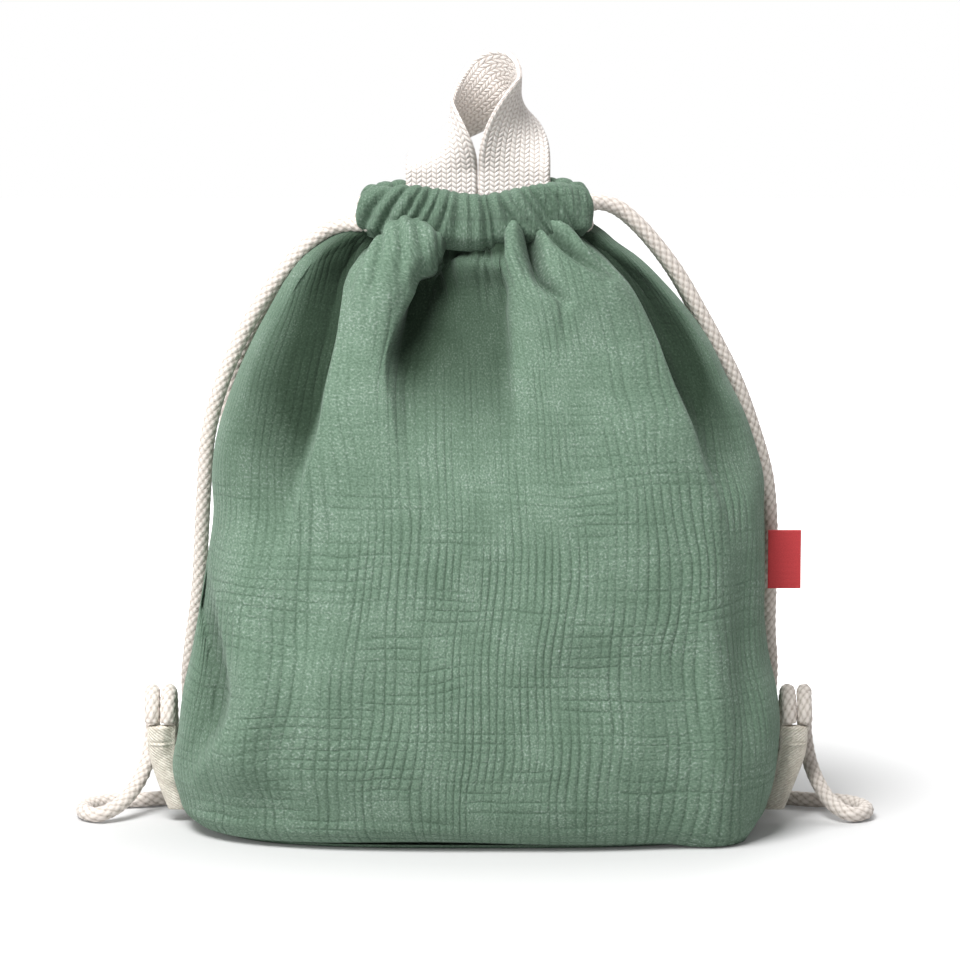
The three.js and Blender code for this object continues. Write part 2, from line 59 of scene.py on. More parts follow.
Light = tuple[float, float, float, float]
Place = tuple[float, float, float]
Pairs = tuple[tuple[float, float], ...]
Route = tuple[Place, ...]
MM = 0.001
MERGE = 1e-7
WHITE: Light = (1.0, 1.0, 1.0, 1.0)
LOG = logging.getLogger("bento_bag")


class Side(Enum):
    """Side of the bag, as the sign of X."""

    LEFT = -1
    RIGHT = 1


class Facing(Enum):
    """Front or back half, as the sign of Y."""

    FRONT = -1
    BACK = 1


# Shapes from arrays


def ease(low: float, high: float, value: Array) -> Array:
    """Smooth rise from 0 at low to 1 at high: 3 t squared less 2 t cubed."""
    t = np.clip((value - low) / (high - low), 0.0, 1.0)
    return t * t * (3.0 - 2.0 * t)


def bell(distance: Array, left: float, right: float) -> Array:
    """Bell curve, e to the power of minus distance over width squared, with a width for either side."""
    return np.exp(-((distance / np.where(distance < 0, left, right)) ** 2))


def spline(knots: Array, values: Array, at: Array) -> Array:
    """Cubic through knots, with slopes from the neighbouring knots, held level outside them.

    Args:
        knots: rising places of the knots.
        values: one value, or one row of values, for each knot.
        at: places to work out.

    Returns:
        The values at those places.
    """
    knots, values = np.asarray(knots, float), np.asarray(values, float)
    at = np.clip(at, knots[0], knots[-1])
    slopes = np.gradient(values, knots, axis=0)
    index = np.clip(np.searchsorted(knots, at) - 1, 0, len(knots) - 2)
    step = knots[index + 1] - knots[index]
    t = (at - knots[index]) / step
    if values.ndim > 1:
        step, t = step[..., None], t[..., None]
    start = (2 * t**3 - 3 * t**2 + 1) * values[index] + (t**3 - 2 * t**2 + t) * step * slopes[index]
    return start + (3 * t**2 - 2 * t**3) * values[index + 1] + (t**3 - t**2) * step * slopes[index + 1]


def curve(pairs: Pairs, at: Array) -> Array:
    """Value of a curve that is given as pairs of place and value, in any order of place."""
    knots = np.array(sorted(pairs))
    return spline(knots[:, 0], knots[:, 1], at)


def signed_power(value: Array, power: float) -> Array:
    """Size of a value to a power, with the sign of the value."""
    return np.sign(value) * np.abs(value) ** power


def oval(angle: Array, power: Array | float) -> tuple[Array, Array]:
    """Point of a rounded rectangle: cosine and sine over the root of the sum of their powers.

    Args:
        angle: way from the middle.
        power: 2 for a circle, more for squarer corners.

    Returns:
        The two parts of the point, each from -1 to 1.
    """
    cosine, sine = np.cos(angle), np.sin(angle)
    reach = (np.abs(cosine) ** power + np.abs(sine) ** power) ** (-1.0 / power)
    return reach * cosine, reach * sine


def round_off(distance: Array, radius: float) -> Array:
    """Quarter circle from 0 at an edge to 1 at a radius from it."""
    return np.sqrt(1.0 - (1.0 - np.clip(distance / radius, 0.0, 1.0)) ** 2)


def lengths(path: Array) -> Array:
    """Length along a path up to each of its points."""
    return np.concatenate([[0.0], np.cumsum(np.linalg.norm(np.diff(path, axis=0), axis=1))])


def to_ends(places: Array) -> Array:
    """Distance of each place in a column from the nearer end."""
    return np.minimum(places - places[0], places[-1] - places)


def once_round(count: int) -> Array:
    """Angles once round, as one row."""
    return np.linspace(0.0, 2 * np.pi, count, endpoint=False)[None, :]


def grid(*parts: Array) -> Array:
    """Grid of points from their parts, each spread over the whole grid."""
    return np.stack(np.broadcast_arrays(*parts), axis=-1)


def twice_at_ends(rows: Array) -> Array:
    """Rows with the first and the last given twice."""
    return np.concatenate([rows[:1], rows, rows[-1:]])


def capped(rings: Array) -> Array:
    """Rings of points with a lid at both ends: the end ring drawn into its middle.

    Args:
        rings: rows of points, one row for each ring.

    Returns:
        The rings with one more row at either end.
    """
    points = twice_at_ends(rings)
    points[[0, -1]] = rings[[0, -1]].mean(axis=1, keepdims=True)
    return points


@dataclass(frozen=True)
class Noise:
    """Smooth seeded noise from -1 to 1: lattice values joined by quintic steps."""

    seed: int
    size: int = 256

    def __call__(self, x: Array, y: Array) -> Array:
        """Noise at points of a plane: the values of the four corners of a cell, mixed by quintic steps.

        Args:
            x: first place, in cells.
            y: second place, in cells.

        Returns:
            The noise.
        """
        values = np.random.default_rng(self.seed).uniform(-1.0, 1.0, (self.size, self.size))
        column, row = np.floor(x).astype(int), np.floor(y).astype(int)
        fx, fy = x - column, y - row
        fx, fy = (f**3 * (f * (6 * f - 15) + 10) for f in (fx, fy))
        i, j = column % self.size, row % self.size
        k, m = (i + 1) % self.size, (j + 1) % self.size
        low = values[j, i] * (1 - fx) + values[j, k] * fx
        high = values[m, i] * (1 - fx) + values[m, k] * fx
        return low * (1 - fy) + high * fy


def grid_normals(points: Array) -> Array:
    """Unit normals of a grid of points: the cross product of the two grid directions.

    Args:
        points: grid of points.

    Returns:
        One normal for each point.
    """
    along, across = np.gradient(points, axis=0), np.gradient(points, axis=1)
    normals = np.cross(across, along)
    return normals / np.maximum(np.linalg.norm(normals, axis=2, keepdims=True), 1e-12)


def grid_faces(rows: int, columns: int, closed: bool = False) -> Array:
    """Quads of a grid, closed on itself over its columns where asked.

    Args:
        rows: number of rows.
        columns: number of columns.
        closed: joins the last column to the first.

    Returns:
        The quads as rows of vertex numbers.
    """
    row = np.arange(rows - 1)[:, None] * columns
    column = np.arange(columns if closed else columns - 1)[None, :]
    right = (column + 1) % columns
    return grid(row + column, row + right, row + columns + right, row + columns + column).reshape(-1, 4)


def lay_mesh(name: str, points: Array, faces: Array, uv: Array | None = None,
             marks: dict[str, Array] | None = None, closed: bool = False) -> Piece:
    """Object at the origin from points in millimetres, smooth, with its faces turned outwards.

    Args:
        name: name of the piece.
        points: places of the vertices, in any grid shape.
        faces: quads as rows of vertex numbers.
        uv: place of each vertex on the cloth, in millimetres.
        marks: values from 0 to 1 for each vertex, kept as attributes.
        closed: merges doubles and turns the shell by its volume, else by the way from the middle.

    Returns:
        The new object.
    """
    flat = points.reshape(-1, 3) * MM
    mesh = bpy.data.meshes.new(name)
    mesh.from_pydata(flat, [], faces)
    if uv is not None:
        places = uv.reshape(-1, 2)[faces.ravel()] * MM
        mesh.uv_layers.new(name="cloth").data.foreach_set("uv", places.astype(np.float32).ravel())
    for mark, values in (marks or {}).items():
        layer = mesh.attributes.new(mark, "FLOAT", "POINT")
        layer.data.foreach_set("value", values.astype(np.float32).ravel())
    shell = bmesh.new()
    shell.from_mesh(mesh)
    if closed:
        bmesh.ops.remove_doubles(shell, verts=shell.verts, dist=MERGE)
        inside_out = shell.calc_volume(signed=True) < 0
    else:
        corners = flat[faces]
        normals = np.cross(corners[:, 2] - corners[:, 0], corners[:, 3] - corners[:, 1])
        inside_out = np.sum(normals * (corners.mean(axis=1) - flat.mean(axis=0))) < 0
    if inside_out:
        bmesh.ops.reverse_faces(shell, faces=shell.faces)
    shell.to_mesh(mesh)
    shell.free()
    mesh.shade_smooth()
    piece = bpy.data.objects.new(name, mesh)
    bpy.context.scene.collection.objects.link(piece)
    return piece


def lay_tube(name: str, rings: Array, uv: Array, marks: dict[str, Array] | None = None) -> Piece:
    """Closed shell from rings of points."""
    return lay_mesh(name, rings, grid_faces(*rings.shape[:2], closed=True), uv, marks, closed=True)


def even_path(points: Array, step: float) -> Array:
    """Smooth path through points at even steps: a cubic over the root of the chord lengths, spaced by length.

    Args:
        points: points that the path goes through.
        step: length of a step.

    Returns:
        The points of the path.
    """
    chords = np.linalg.norm(np.diff(points, axis=0), axis=1)
    places = np.concatenate([[0.0], np.cumsum(np.sqrt(chords))])
    dense = spline(places, points, np.linspace(0.0, places[-1], 40 * len(points)))
    length = lengths(dense)
    at = np.linspace(0.0, length[-1], max(8, int(length[-1] / step)))
    return np.stack([np.interp(at, length, dense[:, axis]) for axis in range(3)], axis=1)


def path_frames(path: Array) -> tuple[Array, Array]:
    """Two directions square to a path that turn as little as they can along it.

    Args:
        path: points of the path.

    Returns:
        The two directions at each point, as unit vectors.
    """
    along = np.gradient(path, axis=0)
    along /= np.linalg.norm(along, axis=1, keepdims=True)
    first = np.cross(along[0], [0.31, 0.23, 0.92])
    sides = [first / np.linalg.norm(first)]
    for way in along[1:]:
        side = sides[-1] - way * np.dot(way, sides[-1])
        sides.append(side / np.linalg.norm(side))
    side = np.array(sides)
    return side, np.cross(along, side)


# Finishes


class Recipe:
    """Lays out the shader nodes of one material, with a Principled surface at its end."""

    def __init__(self, name: str, roughness: float, sheen: float) -> None:
        """Starts a material with a constant roughness and sheen.

        Args:
            name: name of the material.
            roughness: roughness of its surface.
            sheen: weight of its sheen.
        """
        self.material = bpy.data.materials.new(name)
        self.material.use_nodes = True
        self.tree = self.material.node_tree
        self.surface = self.tree.nodes["Principled BSDF"]
        self.surface.inputs["Roughness"].default_value = roughness
        self.surface.inputs["Specular IOR Level"].default_value = 0.25
        self.surface.inputs["Sheen Weight"].default_value = sheen
        self.surface.inputs["Sheen Roughness"].default_value = 0.5

    def node(self, kind: str, **inputs: object) -> bpy.types.Node:
        """Adds a node and fills its inputs by name, with a link where the value is a socket.

        Args:
            kind: type of the node.
            inputs: values or sockets by the inputs' names.

        Returns:
            The new node.
        """
        node = self.tree.nodes.new(kind)
        for name, value in inputs.items():
            self.fill(node.inputs[name.replace("_", " ")], value)
        return node

    def fill(self, socket: Socket, value: object) -> None:
        """Links a socket to another, or sets its value.

        Args:
            socket: input to fill.
            value: socket or value.
        """
        if isinstance(value, Socket):
            self.tree.links.new(value, socket)
        else:
            socket.default_value = value

    def work(self, kind: str, operation: str, *values: object) -> bpy.types.Node:
        """Adds a node that works out one sum of numbers or of vectors.

        Args:
            kind: type of the node.
            operation: name of the sum.
            values: numbers, vectors or sockets, in the order of the inputs.

        Returns:
            The new node.
        """
        node = self.tree.nodes.new(kind)
        node.operation = operation
        for socket, value in zip(node.inputs, values):
            self.fill(socket, value)
        return node

    def math(self, operation: str, *values: object) -> Socket:
        """Result of one sum of numbers."""
        return self.work("ShaderNodeMath", operation, *values).outputs[0]

    def vector(self, operation: str, *values: object) -> bpy.types.Node:
        """Node for one sum of vectors."""
        return self.work("ShaderNodeVectorMath", operation, *values)

    def wave(self, value: object, pitch: float = 1.0) -> Socket:
        """Row of half waves that is 0 at every whole pitch: the size of the sine."""
        return self.math("ABSOLUTE", self.math("SINE", self.math("MULTIPLY", value, np.pi / pitch)))

    def cloth(self) -> tuple[Socket, Socket, Socket]:
        """Place on the cloth in millimetres, as a vector and as its two parts.

        Returns:
            The vector, the part across and the part along or up.
        """
        place = self.tree.nodes.new("ShaderNodeUVMap")
        place.uv_map = "cloth"
        scaled = self.vector("MULTIPLY", place.outputs[0], (1.0 / MM,) * 3).outputs[0]
        parts = self.node("ShaderNodeSeparateXYZ", Vector=scaled)
        return scaled, parts.outputs[0], parts.outputs[1]

    def mark(self, name: str) -> Socket:
        """Value of an attribute of the piece.

        Args:
            name: name of the attribute.

        Returns:
            The value.
        """
        node = self.tree.nodes.new("ShaderNodeAttribute")
        node.attribute_name = name
        return node.outputs["Fac"]

    def noise(self, place: object, scale: float, detail: float = 2.0) -> Socket:
        """Noise from 0 to 1 at a number of cells for each unit."""
        return self.node("ShaderNodeTexNoise", Vector=place, Scale=scale, Detail=detail).outputs["Fac"]

    def span(self, value: object, low: float, high: float, start: float, end: float) -> Socket:
        """Value carried from one span to another and held at its ends."""
        ends = {"From_Min": low, "From_Max": high, "To_Min": start, "To_Max": end}
        return self.node("ShaderNodeMapRange", Value=value, **ends).outputs[0]

    def stain(self, colour: object, stain: Colour, value: object, none: float, full: float,
              most: float = 1.0) -> Socket:
        """Second colour laid on by a value.

        Args:
            colour: colour under the stain.
            stain: colour laid on, as screen values.
            value: what the share of the stain follows.
            none: value without any stain.
            full: value with the most of it.
            most: largest share of the stain.

        Returns:
            The mixed colour.
        """
        return self.tint(self.span(value, none, full, 0.0, most), colour, linear(stain))

    def tint(self, share: object, low: object, high: object, way: str = "MIX") -> Socket:
        """Colour between two colours, or one laid on the other in another way.

        Args:
            share: share of the second colour.
            low: first colour.
            high: second colour.
            way: how the second is laid on the first.

        Returns:
            The mixed colour.
        """
        node = self.tree.nodes.new("ShaderNodeMix")
        node.data_type, node.blend_type = "RGBA", way
        self.fill(node.inputs["Factor"], share)
        self.fill(node.inputs[6], low)
        self.fill(node.inputs[7], high)
        return node.outputs[2]

    def bump(self, height: object, distance: float, strength: float, under: object = None) -> Socket:
        """Normal bent by a height, over another bent normal where given.

        Args:
            height: height from 0 to 1.
            distance: full height in metres.
            strength: share of the bend.
            under: normal that is bent already.

        Returns:
            The bent normal.
        """
        node = self.node("ShaderNodeBump", Height=height, Distance=distance, Strength=strength)
        if under is not None:
            self.fill(node.inputs["Normal"], under)
        return node.outputs[0]

    def close(self, colour: object, normal: object) -> Material:
        """Joins colour and normal to the surface.

        Args:
            colour: base colour.
            normal: bent normal.

        Returns:
            The finished material.
        """
        self.fill(self.surface.inputs["Base Color"], colour)
        self.fill(self.surface.inputs["Normal"], normal)
        return self.material


def linear(colour: Colour) -> Light:
    """Colour as linear light, by the curve of a standard screen.

    Args:
        colour: eight-bit screen values.

    Returns:
        The linear colour, opaque.
    """
    screen = np.array(colour) / 255.0
    light = np.where(screen <= 0.04045, screen / 12.92, ((screen + 0.055) / 1.055) ** 2.4)
    return (*light.tolist(), 1.0)


@dataclass(frozen=True)
class GauzeFinish:
    """Crinkled cotton double gauze, heathered green."""

    body: Colour = (108, 131, 113)
    fleck: Colour = (158, 172, 163)
    shade: Colour = (89, 112, 94)
    # Tint of the painted shade in the creases and crinkle lines.
    crease_shade_tint: Light = (0.45, 0.53, 0.47, 1.0)
    # Tint of the painted shade in the hollows of the folds, as baked occlusion.
    hollow_shade_tint: Light = (0.15, 0.19, 0.15, 1.0)
    cloud_share: float = 0.25
    # Largest share of the painted shade in creases and crinkle lines.
    valley: float = 0.62
    crease_power: float = 1.5
    line_power: float = 1.6

    def material(self) -> Material:
        """Flecks at thread scale over clouded green, with painted shade in creases, crinkle lines and
        hollows, and a woven bump.

        Returns:
            The new material.
        """
        r = Recipe("gauze", roughness=0.92, sheen=0.35)
        r.surface.inputs["Sheen Tint"].default_value = linear(self.fleck)
        place = r.cloth()[0]
        cloud = r.math("MULTIPLY", r.noise(place, scale=0.06, detail=3.0), self.cloud_share)
        threads = r.noise(place, scale=1.1, detail=4.0)
        speck = r.math("MULTIPLY_ADD", threads, 1.0 - self.cloud_share, cloud)
        colour = r.stain(linear(self.shade), self.body, speck, none=0.38, full=0.53)
        colour = r.stain(colour, self.fleck, speck, none=0.55, full=0.72)
        # Painted shade: the crinkle lines and the gather creases darken the colour.
        lines = r.math("MAXIMUM", self.line(r, "upright", "patch"), self.line(r, "level", "cross"))
        crease = r.math("MAXIMUM", r.math("POWER", r.mark("crease"), self.crease_power), lines)
        dark = r.tint(1.0, colour, self.crease_shade_tint, "MULTIPLY")
        colour = r.tint(r.math("MULTIPLY", crease, self.valley), colour, dark)
        # Painted shade: the hollow mark darkens the colour in the folds' trenches and hollows and under the
        # casing.
        deep = r.tint(1.0, colour, self.hollow_shade_tint, "MULTIPLY")
        colour = r.tint(r.mark("hollow"), colour, deep)
        normal = r.bump(r.math("SUBTRACT", 1.0, lines), distance=0.001, strength=0.45)
        return r.close(colour, r.bump(speck, distance=0.001, strength=0.35, under=normal))

    def line(self, r: Recipe, turn: str, strength: str) -> Socket:
        """Soft line of painted shade, also a groove of the bump, wherever the crinkle's turns pass a whole
        number: 1 less the half wave, to a power.

        Args:
            r: recipe of the material.
            turn: attribute that counts the crinkle's turns.
            strength: attribute from 0 to 1 that fades the lines.

        Returns:
            Value from 0 between the lines to 1 on a line.
        """
        ridge = r.math("SUBTRACT", 1.0, r.wave(r.mark(turn)))
        return r.math("MULTIPLY", r.math("POWER", ridge, self.line_power), r.mark(strength))


@dataclass(frozen=True)
class CordFinish:
    """Braided cream cotton cord."""

    yarn: Colour = (236, 228, 221)
    groove: Colour = (158, 145, 133)
    groove_power: float = 1.6

    def material(self) -> Material:
        """Cream yarn with painted shade in the grooves of the braid, and fine fibres.

        Returns:
            The new material.
        """
        r = Recipe("cord", roughness=0.88, sheen=0.15)
        fibre = r.noise(r.cloth()[0], scale=2.6, detail=3.0)
        # Painted shade: darker where the braid's relief lies low.
        deep = r.math("POWER", r.mark("groove"), self.groove_power)
        colour = r.tint(deep, linear(self.yarn), linear(self.groove))
        colour = r.stain(colour, self.groove, fibre, none=0.3, full=0.7, most=0.16)
        return r.close(colour, r.bump(fibre, distance=0.0002, strength=0.5))


@dataclass(frozen=True)
class WebbingFinish:
    """Cream cotton webbing with rows of small chevrons."""

    face: Colour = (249, 243, 238)
    groove: Colour = (200, 186, 177)
    rib: float = 2.0
    pick: float = 1.9
    slant: float = 2.2

    def material(self) -> Material:
        """Ribs along the webbing, each crossed by slanting picks that change direction from rib to rib.

        Returns:
            The new material.
        """
        r = Recipe("webbing", roughness=0.88, sheen=0.12)
        place, across, along = r.cloth()
        lane = r.math("DIVIDE", across, self.rib)
        slant = r.math("MULTIPLY", r.math("PINGPONG", lane, 1.0), self.slant)
        turn = r.math("MULTIPLY_ADD", along, np.pi / self.pick, slant)
        pick = r.math("POWER", r.math("ABSOLUTE", r.math("SINE", turn)), 0.6)
        height = r.math("MULTIPLY", r.math("POWER", r.wave(lane), 0.5), pick)
        fibre = r.noise(place, scale=2.2, detail=2.0)
        colour = r.stain(linear(self.face), self.groove, height, none=0.65, full=0.15, most=0.75)
        colour = r.stain(colour, self.groove, fibre, none=0.35, full=0.7, most=0.12)
        return r.close(colour, r.bump(height, distance=0.0005, strength=0.7))


@dataclass(frozen=True)
class TwillFinish:
    """Beige cotton twill with its slanting lines."""

    face: Colour = (236, 231, 219)
    groove: Colour = (190, 180, 164)
    line: float = 1.3

    def material(self) -> Material:
        """Fine lines on a slant, with clouded yarn.

        Returns:
            The new material.
        """
        r = Recipe("twill", roughness=0.9, sheen=0.12)
        place, across, up = r.cloth()
        line = r.wave(r.math("ADD", across, up), self.line)
        fibre = r.noise(place, scale=1.1, detail=3.0)
        cloud = r.noise(place, scale=0.32, detail=3.0)
        colour = r.stain(linear(self.face), self.groove, line, none=0.6, full=0.0, most=0.6)
        colour = r.stain(colour, self.groove, fibre, none=0.38, full=0.66, most=0.55)
        colour = r.stain(colour, self.groove, cloud, none=0.42, full=0.68, most=0.45)
        normal = r.bump(line, distance=0.0004, strength=0.7)
        return r.close(colour, r.bump(fibre, distance=0.0006, strength=0.6, under=normal))


@dataclass(frozen=True)
class RibbonFinish:
    """Red woven label ribbon."""

    face: Colour = (208, 68, 72)
    groove: Colour = (164, 46, 52)
    rib: float = 0.5

    def material(self) -> Material:
        """Fine cross ribs with a slight change of tone.

        Returns:
            The new material.
        """
        r = Recipe("ribbon", roughness=0.62, sheen=0.1)
        place, _, up = r.cloth()
        rib = r.wave(up, self.rib)
        fibre = r.noise(place, scale=1.8, detail=2.0)
        colour = r.stain(linear(self.face), self.groove, rib, none=0.5, full=0.0, most=0.5)
        colour = r.stain(colour, self.groove, fibre, none=0.35, full=0.7, most=0.35)
        return r.close(colour, r.bump(rib, distance=0.0002, strength=0.5))


@dataclass
class Finishes:
    """The bag's materials, made once."""

    def __post_init__(self) -> None:
        """Makes each material."""
        self.gauze = GauzeFinish().material()
        self.cord = CordFinish().material()
        self.webbing = WebbingFinish().material()
        self.twill = TwillFinish().material()
        self.ribbon = RibbonFinish().material()


def dress(piece: Piece, material: Material, slot: str, *nodes: str) -> Piece:
    """Gives a piece its material, hides the nodes that it stands for and logs its faces.

    Args:
        piece: the piece.
        material: its material.
        slot: not used.
        nodes: nodes that the piece replaces.

    Returns:
        The same piece.
    """
    piece.data.materials.clear()
    piece.data.materials.append(material)
    if nodes:
        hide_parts(*nodes)
    LOG.info("%s: %d faces", piece.name, len(piece.data.polygons))
    return piece


# Gathers and creases of the cloth


@dataclass(frozen=True)
class Gathers:
    """Gathers along the mouth: rounded ridges between narrow valleys, each with its place and its depth."""

    valleys: Pairs
    seed: int
    fall: Pairs = ((-50, 0), (50, 0))
    sway: float = 1.5
    wave_share: float = 0.18

    def slant(self, x: Array) -> Array:
        """How far the valleys run outwards from the middle of the casing to its lower edge."""
        return curve(self.fall, x)

    def ridge(self, x: Array, slack: Array) -> Array:
        """Height from 0 in a deep valley to 1 on a ridge: a soft half wave, less a bell in each valley.

        Args:
            x: place along the mouth.
            slack: second place, which bends the valleys a little.

        Returns:
            The height of the gathers.
        """
        x = x + self.sway * Noise(self.seed)(x / 13.0, slack / 9.0)
        places, depth = np.array(self.valleys).T
        width = np.random.default_rng(self.seed).uniform(1.0, 2.2, len(places))
        valley = (depth * np.exp(-(((x[..., None] - places) / width) ** 2))).max(axis=-1)
        index = np.clip(np.searchsorted(places, x) - 1, 0, len(places) - 2)
        share = np.clip((x - places[index]) / (places[index + 1] - places[index]), 0.0, 1.0)
        return (1.0 - self.wave_share) * (1.0 - valley) + self.wave_share * np.sin(np.pi * share) ** 0.6


FRONT_GATHERS = Gathers(
    seed=11,
    valleys=((-60, 0.3), (-46, 0.25), (-38.5, 0.95), (-33, 0.9), (-27.5, 0.8), (-22.5, 0.9), (-17, 0.5),
             (-11, 0.6), (-6.5, 0.7), (-2, 0.25), (3.5, 0.8), (6, 0.9), (13.5, 1.0), (19, 0.4), (24, 0.8),
             (28, 0.95), (32, 0.6), (35.5, 0.7), (43, 0.2), (60, 0.3)),
    fall=((-50, 0), (-38, -2.5), (-31, -4.5), (-22, -6.5), (-14, -4), (-7, -1), (0, 0), (7, 1.5), (14, 5.5),
          (22, 7), (30, 5.5), (37, 3), (45, 1), (50, 0)))
BACK_GATHERS = Gathers(
    seed=12,
    valleys=((-60, 0.3), (-48, 0.4), (-41, 0.8), (-35, 0.6), (-28, 0.9), (-22.5, 0.5), (-16, 0.9), (-11, 0.4),
             (-4.5, 0.8), (1, 0.7), (6.5, 0.4), (11.5, 0.9), (18, 0.6), (23, 0.8), (29, 0.9), (34, 0.5),
             (41, 0.8), (48, 0.4), (60, 0.3)))


@dataclass(frozen=True)
class Crinkle:
    """Fine crinkle of the gauze: long ridges up the cloth, crossed by weaker ones."""

    pitch: float = 3.7
    cross_pitch: float = 4.2
    height: float = 0.34
    cross_height: float = 0.26
    seed: int = 5
    cells: Pairs = ((20, 38), (6, 15), (36, 15), (11, 6), (7, 24), (22, 7))

    def lift(self, across: Array, up: Array, cross: Array) -> tuple[Array, dict[str, Array]]:
        """Height of the crinkle, with ridges that are half waves bent by noise, and the marks of its lines,
        which the gauze paints as shade.

        Args:
            across: place across the cloth in millimetres.
            up: place up the cloth in millimetres.
            cross: strength of the crossing ridges, from 0 to 1.

        Returns:
            The height in millimetres, and the turns and strengths of both sets of lines.
        """
        noises = (Noise(self.seed + i)(across / wide, up / tall) for i, (wide, tall) in enumerate(self.cells))
        bend, fine_bend, sway, fine_sway, patch, broken = noises
        upright = across / self.pitch + 0.6 * (bend + 0.25 * fine_bend)
        level = up / self.cross_pitch + 0.55 * (sway + 0.25 * fine_sway)
        patch = np.clip(0.66 + 0.55 * patch, 0.25, 1.0) * (0.35 + 0.65 * cross)
        cross = 0.8 * cross * np.clip(0.55 + 0.6 * broken, 0.12, 1.0)
        first, second = (np.abs(np.sin(np.pi * turn)) ** 0.75 - 0.65 for turn in (upright, level))
        marks = {"upright": upright, "level": level, "patch": patch, "cross": cross}
        return self.height * patch * first + self.cross_height * cross * second, marks


@dataclass(frozen=True)
class Spots:
    """Points of one smooth half of the body, with the places of its seams at their heights."""

    x: Array
    z: Array
    left: Array
    right: Array

    def level(self, pairs: Pairs) -> Array:
        """Value of a curve at the heights of the points."""
        return curve(pairs, self.z)

    def past(self, line: Pairs) -> Array:
        """Distance along X past a line that is given by height."""
        return self.x - curve(line, self.z)


class Folds:
    """What only one half of the body has, at nothing for the other."""

    def roll(self, at: Spots) -> Array:
        """No sideways roll of the folds' edges."""
        return np.zeros_like(at.x)

    def rise(self, at: Spots) -> Array:
        """No cloth in front of the casing."""
        return np.zeros_like(at.x)

    def calm(self, at: Spots) -> Array:
        """No stretch without small gathers."""
        return np.zeros_like(at.x)


